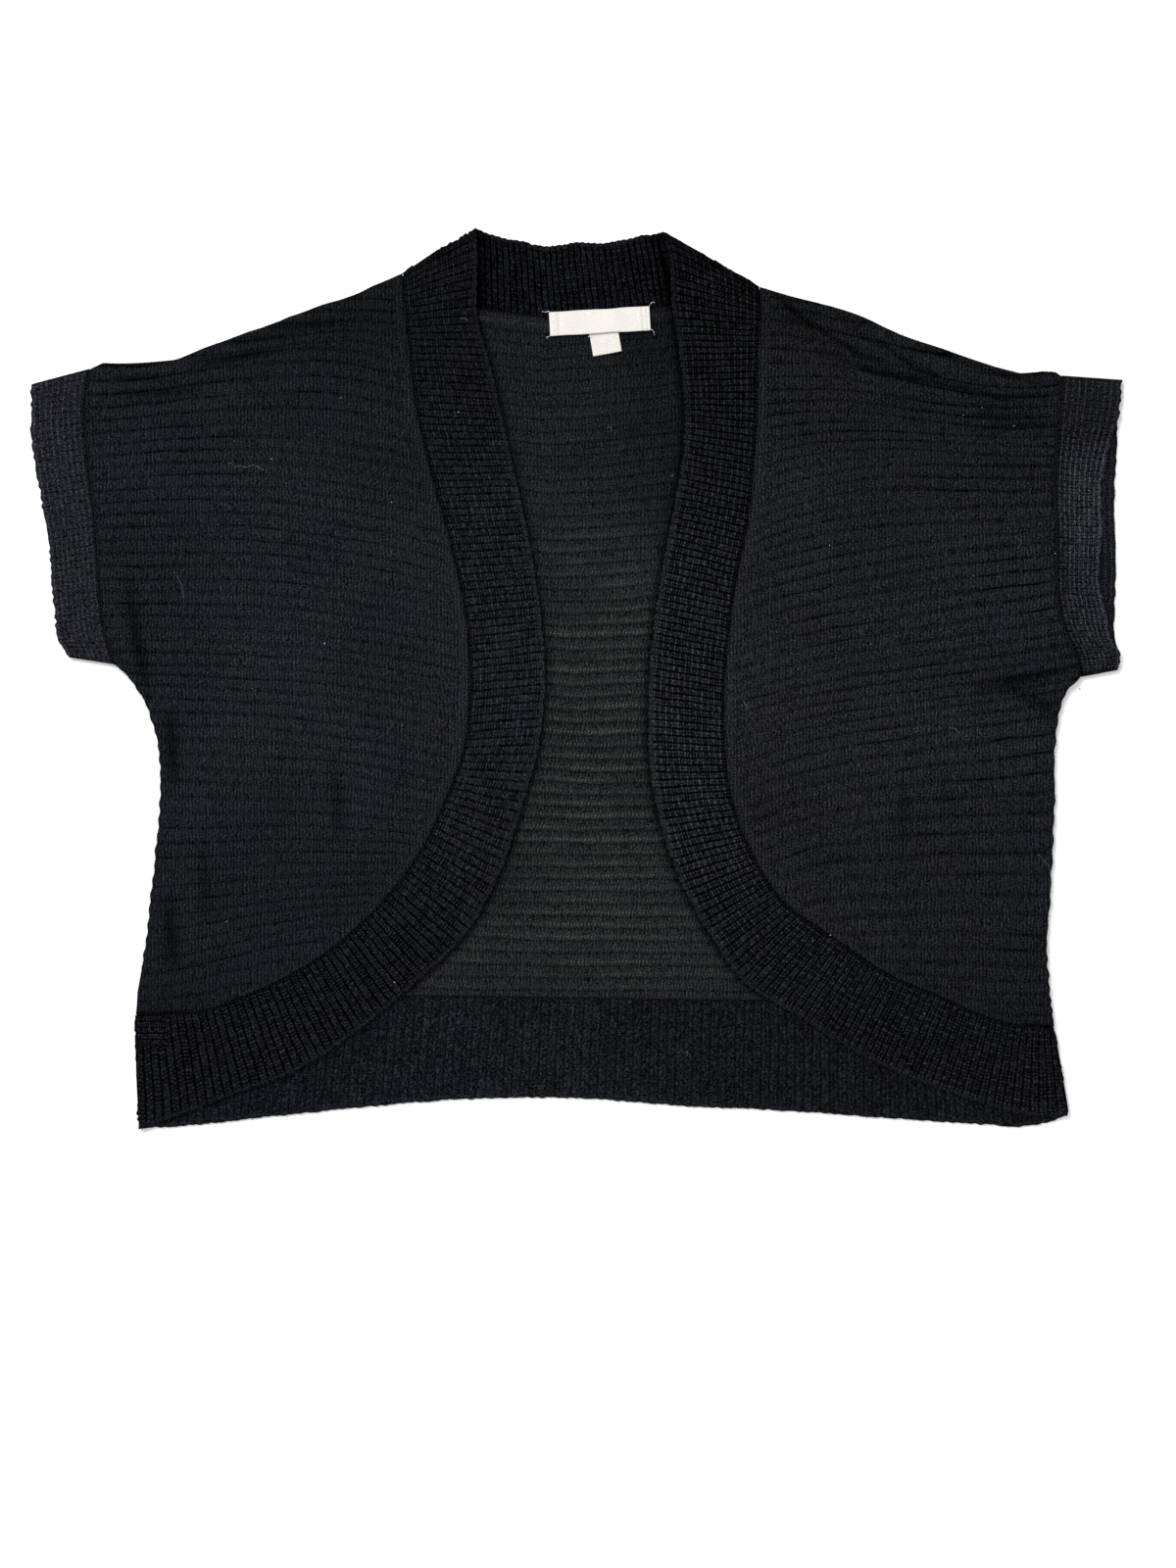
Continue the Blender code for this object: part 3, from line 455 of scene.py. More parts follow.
@dataclass
class MeshParts:
    """What a mesh is made of: points in millimetres, faces, and values at its points."""

    points: Array
    quads: Array
    triangles: Array = field(default_factory=lambda: np.zeros((0, 3), int))
    uv: Array | None = None
    layers: Layers = field(default_factory=dict)

    def build(self, name: str, material: Material, turn: bool = True) -> Object:
        """Makes the object at the origin.

        Args:
            name: The object's name.
            material: Its finish.
            turn: Whether its faces are turned outwards.

        Returns:
            The linked object.
        """
        mesh = bpy.data.meshes.new(name)
        corners = np.concatenate([self.quads.ravel(), self.triangles.ravel()]).astype(np.int32)
        first = 4 * len(self.quads)
        starts = np.concatenate([
            np.arange(0, first, 4), first + np.arange(0, 3 * len(self.triangles), 3),
        ]).astype(np.int32)
        mesh.vertices.add(len(self.points))
        mesh.vertices.foreach_set("co", (self.points * MM).astype(np.float32).ravel())
        mesh.loops.add(len(corners))
        mesh.loops.foreach_set("vertex_index", corners)
        mesh.polygons.add(len(starts))
        mesh.polygons.foreach_set("loop_start", starts)
        mesh.update(calc_edges=True)
        mesh.validate()
        if turn:
            body = bmesh.new()
            body.from_mesh(mesh)
            bmesh.ops.recalc_face_normals(body, faces=body.faces)
            body.to_mesh(mesh)
            body.free()
        if self.uv is not None:
            at = np.empty(len(mesh.loops), np.int32)
            mesh.loops.foreach_get("vertex_index", at)
            layer = mesh.uv_layers.new(name=UV_NAME)
            layer.data.foreach_set("uv", (self.uv[at] * MM).astype(np.float32).ravel())
        cool = {"cool": np.interp(self.points[:, 0], *COOLNESS)} if self.layers else {}
        for key, values in {**cool, **self.layers}.items():
            layer = mesh.attributes.new(key, "FLOAT", "POINT")
            layer.data.foreach_set("value", values.astype(np.float32).ravel())
        mesh.shade_smooth()
        mesh.materials.append(material)
        return placed(name, mesh)


UV_NAME = "cloth"


@dataclass
class Rings:
    """Two faces of cloth that share both long edges. Each row is a ring: along the upper face's
    columns, and back along the few columns of the lower face. Quads join ring to ring."""

    upper: Array
    lower: Array
    under: Array
    pattern: tuple[Array, Array]
    layers: Layers

    def parts(self, joined: bool, lower_shade: float = 1.0) -> MeshParts:
        """The rings' mesh.

        Args:
            joined: Whether the last ring joins the first. If not, triangles close both ends.
            lower_shade: The lower face's tone as a share of the upper one's.

        Returns:
            The mesh's parts.
        """
        shape = self.upper.shape[:2]
        ring = np.concatenate([self.upper, self.lower[:, ::-1]], axis=1)
        rows, size = ring.shape[:2]
        start = np.arange(rows if joined else rows - 1)[:, None] * size
        here = (start + np.arange(size)).ravel()
        beside = (start + (np.arange(size) + 1) % size).ravel()
        total = rows * size
        quads = np.column_stack([here, (here + size) % total, (beside + size) % total, beside])
        triangles = np.zeros((0, 3), int) if joined else end_caps(shape, self.under)
        rings = {}
        for key, value in {**self.layers, "u": self.pattern[0], "v": self.pattern[1]}.items():
            value = np.broadcast_to(value, shape)
            # A lower face's tone is scaled down by a share: painted shade where that face lies inside.
            inside = value[:, self.under[::-1]] * (lower_shade if key == "tone" else 1.0)
            rings[key] = np.concatenate([value, inside], axis=1).ravel()
        uv = np.column_stack([rings.pop("u"), rings.pop("v")])
        return MeshParts(ring.reshape(-1, 3), quads, triangles, uv, rings)


def end_caps(shape: tuple[int, int], under: Array) -> Array:
    """Triangles that close the first and the last of a wall's rings.

    Args:
        shape: Rows and columns of the wall's upper face.
        under: Which of the upper face's inner columns the lower face has.

    Returns:
        The triangles' point numbers.
    """
    rows, columns = shape
    size = columns + len(under)
    chain = np.concatenate([[0], size - 1 - np.arange(len(under)), [columns - 1]])
    chain_columns = np.concatenate([[0], under, [columns - 1]])
    middle = np.arange(columns - 1) + 0.5
    nearest = np.abs(chain_columns[:, None] - middle[None, :]).argmin(axis=0)
    fan = np.column_stack([np.arange(columns - 1), np.arange(1, columns), chain[nearest]])
    fan = fan[(fan[:, 2] != fan[:, 0]) & (fan[:, 2] != fan[:, 1])]
    turn_at = np.searchsorted(nearest, np.arange(1, len(chain)))
    links = np.column_stack([chain[:-1], turn_at, chain[1:]])
    links = links[(links[:, 0] != links[:, 1]) & (links[:, 1] != links[:, 2])]
    cap = np.vstack([fan, links])
    return np.vstack([cap, cap + (rows - 1) * size])


@dataclass
class Wall:
    """A wall of cloth over its plan: rounded edges, a plain lower face and a knitted upper one.
    Values that are the same along a row or a column may be given once for it."""

    plan: Array
    thick: float
    relief: Array
    pattern: tuple[Array, Array]
    layers: Layers
    from_side: Array
    from_end: Array
    low: Array | float = 0.0
    side_radius: float = 1.0
    end_radius: float = 1.2
    end_share: float = 0.35
    under_step: float = 14.0

    def parts(self) -> MeshParts:
        """Half the wall stands over its middle height and half under, by the edge's quarter circle."""
        side = rim(self.from_side, self.side_radius)
        end = self.end_share + (1 - self.end_share) * rim(self.from_end, self.end_radius)
        swell = side * end
        middle = self.low + self.thick / 2
        high = middle + self.thick / 2 * swell + self.relief * ramp(self.from_side, *RELIEF_STARTS) * end
        bottom = middle - self.thick / 2 * swell
        columns = self.plan.shape[1]
        reach = row_distances(self.plan)[0].mean(axis=0)
        spaced = np.searchsorted(reach, np.arange(self.under_step, reach[-1], self.under_step))
        under = np.concatenate([[1, 3], spaced, [columns - 4, columns - 2]])
        under = np.unique(np.clip(under, 1, columns - 2))
        upper = np.dstack([self.plan, np.maximum(high, 0.0)])
        lower = np.dstack([self.plan, np.maximum(bottom, 0.0)])[:, under]
        return Rings(upper, lower, under, self.pattern, self.layers).parts(joined=False)


def row_distances(plan: Array) -> tuple[Array, Array]:
    """How far each point lies from its row's start and end, along the row."""
    steps = np.linalg.norm(np.diff(plan, axis=1), axis=2)
    reach = np.concatenate([np.zeros((len(plan), 1)), np.cumsum(steps, axis=1)], axis=1)
    return reach, reach[:, -1:] - reach


def waved(plan: Array, amount: Array, distance: Array, reach: float = 4.0) -> Array:
    """Points moved outwards near one end of their rows, so that the edge there is wavy.

    Args:
        plan: Points, rows by columns by 2.
        amount: How far each row's end moves outwards.
        distance: How far each point lies from that end.
        reach: How far in the wave fades out.

    Returns:
        The moved points.
    """
    end, inner = (-1, -7) if distance[0, -1] < distance[0, 0] else (0, 6)
    outwards = plan[:, end] - plan[:, inner]
    outwards = outwards / np.linalg.norm(outwards, axis=1)[:, None]
    return plan + outwards[:, None] * (amount[:, None] * bell(distance, reach))[:, :, None]


def waved_ends(plan: Array, height: float, pitch: float, noise: SoftNoise) -> Array:
    """The same at a panel's first and last rows, with a bump every pitch along them."""
    turned = plan.transpose(1, 0, 2)
    reach = row_distances(plan)[0][0]
    fade = from_edge(reach / reach[-1], 0.08)
    for distance in row_distances(turned):
        bumps = np.cos(2 * np.pi * reach / pitch) + noise.at(reach, reach * 0 + distance[0, 0], 3.0)
        turned = waved(turned, height * fade * bumps, distance, 2.5)
    return turned.transpose(1, 0, 2)


class HeightMap:
    """The highest point of the cloth over each cell of a square grid, for what lies on it."""

    CELL = 1.6
    HALF = 340.0

    def __init__(self) -> None:
        """Starts with the bare surface."""
        count = int(2 * self.HALF / self.CELL) + 2
        self.heights = np.zeros((count, count))

    def _cell(self, value: Array) -> Array:
        """The cell that holds a place."""
        return np.clip(((value + self.HALF) / self.CELL).astype(int), 0, len(self.heights) - 1)

    def add(self, points: Array) -> None:
        """Raises the cells under these points to their heights."""
        np.maximum.at(self.heights, (self._cell(points[:, 1]), self._cell(points[:, 0])), points[:, 2])

    def at(self, x: Array, y: Array) -> Array:
        """The highest of the cells around each place."""
        row, column = self._cell(np.asarray(y, float)), self._cell(np.asarray(x, float))
        last = len(self.heights) - 1
        found = [
            self.heights[np.clip(row + i, 0, last), np.clip(column + j, 0, last)]
            for i in (-1, 0, 1)
            for j in (-1, 0, 1)
        ]
        return np.max(found, axis=0)


def tubes(paths: Array, radius: Array | float) -> MeshParts:
    """Four-sided tubes along paths, closed at both ends. A ring's corner is its centre plus the
    radius times an angle's cosine along one normal and its sine along the other.

    Args:
        paths: Points, paths by points by 3.
        radius: Radius at each point, of a shape that fits paths by points.

    Returns:
        The mesh's parts.
    """
    count, length = paths.shape[:2]
    along = np.gradient(paths, axis=1)
    along /= np.linalg.norm(along, axis=2, keepdims=True) + 1e-9
    across = np.cross(along, np.array([0.0013, 0.0021, 1.0]))
    across /= np.linalg.norm(across, axis=2, keepdims=True) + 1e-9
    up = np.cross(across, along)
    angle = (np.arange(4) * np.pi / 2 + np.pi / 4)[None, None, :, None]
    size = np.broadcast_to(radius, (count, length))[:, :, None, None]
    ring = across[:, :, None] * np.cos(angle) + up[:, :, None] * np.sin(angle)
    points = (paths[:, :, None] + size * ring).reshape(-1, 3)
    start = np.arange(count)[:, None, None] * length * 4 + np.arange(length - 1)[None, :, None] * 4
    k = np.arange(4)[None, None, :]
    a, b = start + k, start + (k + 1) % 4
    body = np.stack([a, b, b + 4, a + 4], axis=-1).reshape(-1, 4)
    first = np.arange(count)[:, None] * length * 4
    ends = np.vstack([first + np.array([3, 2, 1, 0]), first + (length - 1) * 4 + np.array([0, 1, 2, 3])])
    return MeshParts(points, np.vstack([body, ends]))


# ---- shader wiring


class Wiring:
    """Adds nodes to a tree. Each method takes sockets or numbers and returns the socket it makes."""

    def __init__(self, tree: Tree) -> None:
        """Keeps the tree that the nodes go into."""
        self.tree = tree

    def node(self, kind: str) -> Node:
        """A new node of a kind."""
        return self.tree.nodes.new(kind)

    def feed(self, socket: Socket, value: object) -> None:
        """Links a socket to another, or sets its value."""
        if isinstance(value, Socket):
            self.tree.links.new(value, socket)
        else:
            socket.default_value = value

    def math(self, operation: str, *values: object, clamp: bool = False) -> Socket:
        """A Math node."""
        node = self.node("ShaderNodeMath")
        node.operation = operation
        node.use_clamp = clamp
        for socket, value in zip(node.inputs, values):
            self.feed(socket, value)
        return node.outputs[0]

    # The operations used most: a * b, a * b + c, a - b, a + b, a / b, the whole number below, what
    # is over it, the size without its sign, and 1 - a.
    times = partialmethod(math, "MULTIPLY")
    linear = partialmethod(math, "MULTIPLY_ADD")
    less = partialmethod(math, "SUBTRACT")
    plus = partialmethod(math, "ADD")
    ratio = partialmethod(math, "DIVIDE")
    floor = partialmethod(math, "FLOOR")
    part = partialmethod(math, "FRACT")
    size = partialmethod(math, "ABSOLUTE")
    rest = partialmethod(math, "SUBTRACT", 1.0)

    def from_whole(self, value: object) -> Socket:
        """How far a value lies from the nearest whole number."""
        return self.size(self.less(self.part(self.plus(value, 0.5)), 0.5))

    def spread(
        self, value: object, low: float, high: float, at_low: float = 1.0, at_high: float = 0.0,
    ) -> Socket:
        """A Map Range node with a smooth step, from one end's value to the other's."""
        node = self.node("ShaderNodeMapRange")
        node.interpolation_type = "SMOOTHSTEP"
        for socket, given in zip(node.inputs, (value, low, high, at_low, at_high)):
            self.feed(socket, given)
        return node.outputs[0]

    def mix(self, factor: object, first: object, second: object) -> Socket:
        """A colour Mix node."""
        node = self.node("ShaderNodeMix")
        node.data_type = "RGBA"
        for socket, given in ((0, factor), (6, first), (7, second)):
            self.feed(node.inputs[socket], given)
        return node.outputs[2]

    def shade(self, colour: object, value: object) -> Socket:
        """A colour times a number."""
        node = self.node("ShaderNodeVectorMath")
        node.operation = "SCALE"
        self.feed(node.inputs[0], colour if isinstance(colour, Socket) else colour[:3])
        self.feed(node.inputs["Scale"], value)
        return node.outputs[0]

    def attribute(self, name: str) -> Socket:
        """A value that the mesh carries at its points."""
        node = self.node("ShaderNodeAttribute")
        node.attribute_name = name
        return node.outputs["Fac"]

    def uv(self) -> tuple[Socket, Socket]:
        """The piece's own pattern coordinates, along and across its rows."""
        node = self.node("ShaderNodeUVMap")
        node.uv_map = UV_NAME
        split = self.node("ShaderNodeSeparateXYZ")
        self.feed(split.inputs[0], node.outputs[0])
        return split.outputs[0], split.outputs[1]

    def place(self) -> Socket:
        """Object coordinates."""
        return self.node("ShaderNodeTexCoord").outputs["Object"]

    def noise(self, vector: object, scale: object, detail: float = 2.0, rough: float = 0.5) -> Socket:
        """A Noise Texture's value."""
        node = self.node("ShaderNodeTexNoise")
        self.feed(node.inputs["Vector"], vector)
        self.feed(node.inputs["Scale"], scale)
        node.inputs["Detail"].default_value = detail
        node.inputs["Roughness"].default_value = rough
        return node.outputs[0]

    def cell_noise(self, x: object, y: object) -> Socket:
        """A random value from 0 to 1 for a pair of whole numbers."""
        join = self.node("ShaderNodeCombineXYZ")
        self.feed(join.inputs[0], x)
        self.feed(join.inputs[1], y)
        node = self.node("ShaderNodeTexWhiteNoise")
        node.noise_dimensions = "2D"
        self.feed(node.inputs["Vector"], join.outputs[0])
        return node.outputs["Value"]

    def bump(self, shader: Node, height: object, strength: float, distance: float) -> None:
        """Feeds a height, whose unit is a distance in millimetres, into a shader's normal."""
        node = self.node("ShaderNodeBump")
        node.inputs["Strength"].default_value = strength
        node.inputs["Distance"].default_value = distance * MM
        self.feed(node.inputs["Height"], height)
        self.feed(shader.inputs["Normal"], node.outputs[0])

    def group(self, tree: Tree, **values: object) -> Outputs:
        """The outputs of a placed node group that has its own values."""
        node = self.node("ShaderNodeGroup")
        node.node_tree = tree
        for key, value in values.items():
            self.feed(node.inputs[key], value)
        return node.outputs


class Effects:
    """The node groups that finishes share, each built on its first use."""

    def _new(
        self, name: str, inputs: dict[str, float], outputs: tuple[str, ...],
    ) -> tuple[Wiring, dict, dict]:
        """An empty node group.

        Args:
            name: The group's name.
            inputs: Its number inputs, with their usual values.
            outputs: Its outputs, all numbers.

        Returns:
            Its wiring, and its inputs and outputs by name.
        """
        tree = bpy.data.node_groups.new(name, "ShaderNodeTree")
        for key, value in inputs.items():
            socket = tree.interface.new_socket(key, in_out="INPUT", socket_type="NodeSocketFloat")
            socket.default_value = value
        for key in outputs:
            tree.interface.new_socket(key, in_out="OUTPUT", socket_type="NodeSocketFloat")
        wiring = Wiring(tree)
        source = wiring.node("NodeGroupInput")
        target = wiring.node("NodeGroupOutput")
        return wiring, dict(source.outputs.items()), dict(target.inputs.items())

    @cached_property
    def stockinette(self) -> Tree:
        """Columns of V stitches. A leg is a hump across its half of the wale. The two legs lean
        apart: a cosine along the column is shifted by the distance from its middle. The right leg
        is brighter than the left one, by a random amount."""
        sizes = {"Wale": WALE * MM, "Course": COURSE * MM}
        w, given, out = self._new("stockinette", sizes, ("Height", "Groove", "Shade"))
        u, v = w.uv()
        sway = w.times(w.noise(w.place(), 120.0, 1.0), 1.3)
        column = w.plus(w.ratio(u, given["Wale"]), sway)
        part = w.part(column)
        away = w.size(w.less(part, 0.5))
        leg = w.size(w.math("SINE", w.times(part, 2 * math.pi)))
        along = w.plus(w.ratio(v, given["Course"]), away)
        wave = w.math("COSINE", w.times(along, 2 * math.pi))
        w.feed(out["Height"], w.times(leg, w.linear(wave, 0.3, 0.7)))
        # Groove: where painted shade falls between the wales.
        w.feed(out["Groove"], w.spread(away, 0.28, 0.5, 0.0, 1.0))
        right_leg = w.math("GREATER_THAN", part, 0.5)
        lit = w.linear(w.cell_noise(w.floor(column), w.floor(along)), 2.2, -0.3)
        w.feed(out["Shade"], w.linear(w.less(right_leg, 0.5), lit, 0.5))
        return w.tree

    @cached_property
    def ladder_rows(self) -> Tree:
        """A sunken row once a rib: dark upright dashes between its strands, or one thin dark line.
        A dash is a pulse along the row, as wide, tall and strong as random numbers say."""
        sizes = {"Wale": WALE * MM, "Pitch": RIB_PITCH * MM}
        w, given, out = self._new("ladder_rows", sizes, ("Dash", "Line", "Row", "Under", "Random"))
        u, v = w.uv()
        row = w.ratio(v, given["Pitch"])
        off = w.less(w.part(w.plus(row, 0.5)), 0.5)
        away = w.size(off)
        sway = w.times(w.noise(w.place(), 150.0, 1.0), 1.1)
        column = w.plus(w.linear(off, 0.5, w.ratio(u, given["Wale"])), sway)
        random = w.cell_noise(w.floor(column), w.math("ROUND", row))
        other = w.cell_noise(w.plus(w.floor(column), 0.5), w.math("ROUND", row))
        beside = w.size(w.less(w.part(column), 0.5))
        pulse = w.spread(w.less(beside, w.linear(random, 0.12, 0.12)), -0.09, 0.09)
        tall = w.linear(other, 0.10, 0.13)
        within = w.spread(w.less(away, tall), -0.03, 0.04)
        strength = w.linear(other, 0.5, 0.5)
        w.feed(out["Dash"], w.times(w.times(pulse, within), strength))
        # The thin line is a painted shadow, where the raised band above tucks over the row.
        broken = w.spread(w.noise(w.place(), 210.0, 2.0), 0.35, 0.6, 0.25, 1.0)
        w.feed(out["Line"], w.times(w.spread(away, 0.02, 0.10), broken))
        wide = w.times(w.spread(away, 0.1, 0.36), 0.4)
        w.feed(out["Row"], w.linear(w.spread(away, 0.04, 0.15), 0.6, wide))
        w.feed(out["Under"], w.spread(w.size(w.less(off, 0.33)), 0.05, 0.2))
        w.feed(out["Random"], random)
        return w.tree

    @cached_property
    def waffle_cells(self) -> Tree:
        """A grid of small raised cells, two rows to a rib. Painted shade darkens the lines between ribs, more
        weakly the lines between a rib's two rows, and the gaps between its columns. Each cell has its own
        shade, and every second column is brighter."""
        sizes = {
            "Rib": WAFFLE_PITCH * MM, "Dot": DOT * MM, "Line": 0.9, "Half": 0.5, "Gap": 0.7, "Stagger": 0.5,
            "Width": 0.12, "Broken": 0.5, "Patch": 150.0, "Second": 0.5,
        }
        w, given, out = self._new("waffle_cells", sizes, ("Height", "Shade"))
        u, v = w.uv()
        place = w.place()
        sway = w.less(w.noise(place, 170.0, 1.0), 0.5)
        over = w.linear(sway, 0.5, w.ratio(u, given["Dot"]))
        drift = w.less(w.noise(place, 260.0, 1.0), 0.5)
        rib = w.linear(drift, 0.15, w.ratio(v, given["Rib"]))
        half_row = w.floor(w.times(rib, 2.0))
        over = w.linear(w.cell_noise(half_row, 7.0), given["Stagger"], over)
        cell = w.cell_noise(w.floor(over), half_row)
        pair = w.cell_noise(w.floor(over), w.floor(rib))
        patches = w.spread(w.noise(place, given["Patch"], 2.0), 0.38, 0.60)
        broken = w.times(patches, given["Broken"])
        from_line = w.from_whole(rib)
        ragged = w.times(w.less(w.noise(place, 600.0, 1.0), 0.5), 0.28)
        beyond = w.plus(w.less(from_line, given["Width"]), ragged)
        main = w.spread(beyond, -0.08, 0.08)
        middle = w.times(w.spread(from_line, 0.36, 0.48, 0.0, 1.0), given["Half"])
        from_gap = w.from_whole(over)
        gap = w.times(w.spread(from_gap, 0.10, 0.36), given["Gap"])
        gap = w.times(gap, w.linear(pair, 0.9, 0.4), clamp=True)
        middle = w.times(middle, w.linear(pair, 0.8, 0.5), clamp=True)
        middle = w.times(middle, w.rest(broken))
        varied = w.times(given["Line"], w.rest(broken))
        open_line = w.rest(w.times(main, varied), clamp=True)
        open_middle = w.rest(middle)
        open_gap = w.rest(gap)
        hump = w.times(w.times(open_line, open_middle), open_gap)
        w.feed(out["Height"], hump)
        second = w.math("PINGPONG", w.floor(over), 1.0)
        bright = w.linear(second, given["Second"], w.linear(cell, 0.5, 0.6))
        w.feed(out["Shade"], w.times(hump, bright))
        return w.tree

    @cached_property
    def mottle(self) -> Tree:
        """Uneven shade of the cloth at three sizes: hand-sized, finger-sized and stitch-sized. The
        tint is 0 where the yarn looks blue and 1 where it looks neutral."""
        w, given, out = self._new("mottle", {"Amount": 1.0, "Grain": 1.0, "Cool": 0.5}, ("Shade", "Tint"))
        place = w.place()
        total: object = 1.0
        for key, scale, detail, amount in (
            ("Amount", 16.0, 2.0, 0.28), ("Amount", 90.0, 1.0, 0.2), ("Grain", 620.0, 0.0, 0.3),
            ("Grain", 1150.0, 1.0, 4.0),
        ):
            part = w.times(w.less(w.noise(place, scale, detail), 0.5), amount)
            total = w.linear(part, given[key], total)
        fleck = w.times(w.spread(w.noise(place, 1400.0, 1.0), 0.62, 0.78, 0.0, 1.0), given["Grain"])
        w.feed(out["Shade"], w.math("MAXIMUM", w.plus(total, fleck), 0.1))
        patch = w.spread(w.noise(place, 24.0, 3.0), 0.40, 0.60, 0.7, 1.3)
        w.feed(out["Tint"], w.less(patch, given["Cool"], clamp=True))
        return w.tree

    @cached_property
    def yarn_fuzz(self) -> Tree:
        """Fine fibres over the yarn: two small noises added."""
        w, _, out = self._new("yarn_fuzz", {}, ("Height",))
        place = w.place()
        w.feed(out["Height"], w.plus(w.noise(place, 900.0, 3.0, 0.7), w.noise(place, 2600.0, 2.0, 0.6)))
        return w.tree

    @cached_property
    def tape_weave(self) -> Tree:
        """Plain weave: humps of warp and weft that alternate from cell to cell."""
        w, given, out = self._new("tape_weave", {"Thread": 0.36 * MM}, ("Height", "Gap"))
        u, v = w.uv()
        over = w.ratio(u, given["Thread"])
        up = w.ratio(v, given["Thread"])
        warp = w.size(w.math("SINE", w.times(over, math.pi)))
        weft = w.size(w.math("SINE", w.times(up, math.pi)))
        odd = w.math("PINGPONG", w.plus(w.floor(over), w.floor(up)), 1.0)
        picked = w.plus(w.times(warp, odd), w.times(weft, w.rest(odd)))
        w.feed(out["Height"], picked)
        w.feed(out["Gap"], w.spread(w.times(warp, weft), 0.0, 0.5))
        return w.tree


# ---- finishes


class Slot(Enum):
    """The record's material slots."""

    RIPPLE = "ripple_knit"
    WAFFLE = "waffle_rib"
    TAPE = "woven_tape"
    FIBRE = "loose_fibre"
    THREAD = "sewing_thread"


FUZZ_SHARE = 0.4


def opaque(colour: Colour) -> tuple[float, float, float, float]:
    """A colour with full alpha."""
    return (*colour, 1.0)


def new_material(
    name: str, colour: Colour, rough: float, specular: float,
) -> tuple[Material, Wiring, Node]:
    """A node material.

    Args:
        name: Its name.
        colour: Its colour outside renders.
        rough: The shader's roughness.
        specular: The shader's specular level.

    Returns:
        The material, its wiring and its shader.
    """
    material = bpy.data.materials.new(name)
    material.use_nodes = True
    material.diffuse_color = opaque(colour)
    shader = material.node_tree.nodes["Principled BSDF"]
    shader.inputs["Roughness"].default_value = rough
    shader.inputs["Specular IOR Level"].default_value = specular
    return material, Wiring(material.node_tree), shader


@dataclass(frozen=True, kw_only=True)
class Finish:
    """A finish. Its kind wires a colour and a height. The rest is set on the shader itself."""

    name: str
    yarn: Colour
    rough: float = 0.95
    specular: float = 0.01
    bump: float = 0.6
    bump_depth: float = 0.5

    def wire(self, w: Wiring, effects: Effects) -> tuple[Socket, Socket]:
        """Wires the kind's own nodes.

        Args:
            w: The material's wiring.
            effects: The shared node groups.

        Returns:
            The colour and the height.
        """
        raise NotImplementedError

    def build(self, effects: Effects) -> Material:
        """Makes the finish's material from the shared node groups."""
        material, w, shader = new_material(self.name, self.yarn, self.rough, self.specular)
        colour, height = self.wire(w, effects)
        w.feed(shader.inputs["Base Color"], colour)
        w.bump(shader, height, self.bump, self.bump_depth)
        return material


@dataclass(frozen=True, kw_only=True)
class RippleFinish(Finish):
    """Ripple knit: smooth raised bands of V stitches and sunken ladder rows."""

    other: Colour
    dash: float
    line: float
    grain: float
    groove: float = 0.5
    under: float = 0.0
    # The last two: the strength and the colour of painted light from the pale surface below, seen through the
    # sunken rows.
    show_through: float = 0.0
    behind: Colour = (0.060, 0.061, 0.058)

    def wire(self, w: Wiring, effects: Effects) -> tuple[Socket, Socket]:
        """The yarn's colour is multiplied by the shades of its legs, by painted shade in the grooves between
        wales, by the sunken rows' dashes and by their lines, which are painted shadow, by the mottle and by
        the piece's own tone, which carries painted shade. Where the pale surface below would show through a
        row, painted light: a paler colour is mixed in between the dashes."""
        stitches = w.group(effects.stockinette)
        ladder = w.group(effects.ladder_rows)
        mottle = w.group(effects.mottle, Grain=self.grain, Cool=w.attribute("cool"))
        fuzz = w.group(effects.yarn_fuzz)
        dash = w.times(w.times(ladder["Dash"], w.attribute("dash")), self.dash)
        line = w.times(w.times(ladder["Line"], w.attribute("line")), self.line)
        shade = w.linear(stitches["Shade"], 0.7, 0.75)
        groove = w.times(stitches["Groove"], self.groove)
        under = w.times(ladder["Under"], self.under)
        for dark in (groove, dash, line, under):
            shade = w.times(shade, w.rest(dark))
        shade = w.times(shade, w.times(mottle["Shade"], w.attribute("tone")))
        colour = w.shade(w.mix(mottle["Tint"], opaque(self.yarn), opaque(self.other)), shade)
        if self.show_through:
            glow = w.times(w.attribute("glow"), self.show_through)
            spots = w.times(ladder["Row"], w.spread(ladder["Dash"], 0.0, 0.3, 1.0, 0.1))
            spots = w.times(spots, w.linear(ladder["Random"], 0.9, 0.35))
            spots = w.times(spots, mottle["Shade"])
            colour = w.mix(w.times(glow, spots, clamp=True), colour, opaque(self.behind))
        height = w.less(stitches["Height"], w.times(w.plus(dash, line), 1.6))
        return colour, w.linear(fuzz["Height"], FUZZ_SHARE, height)


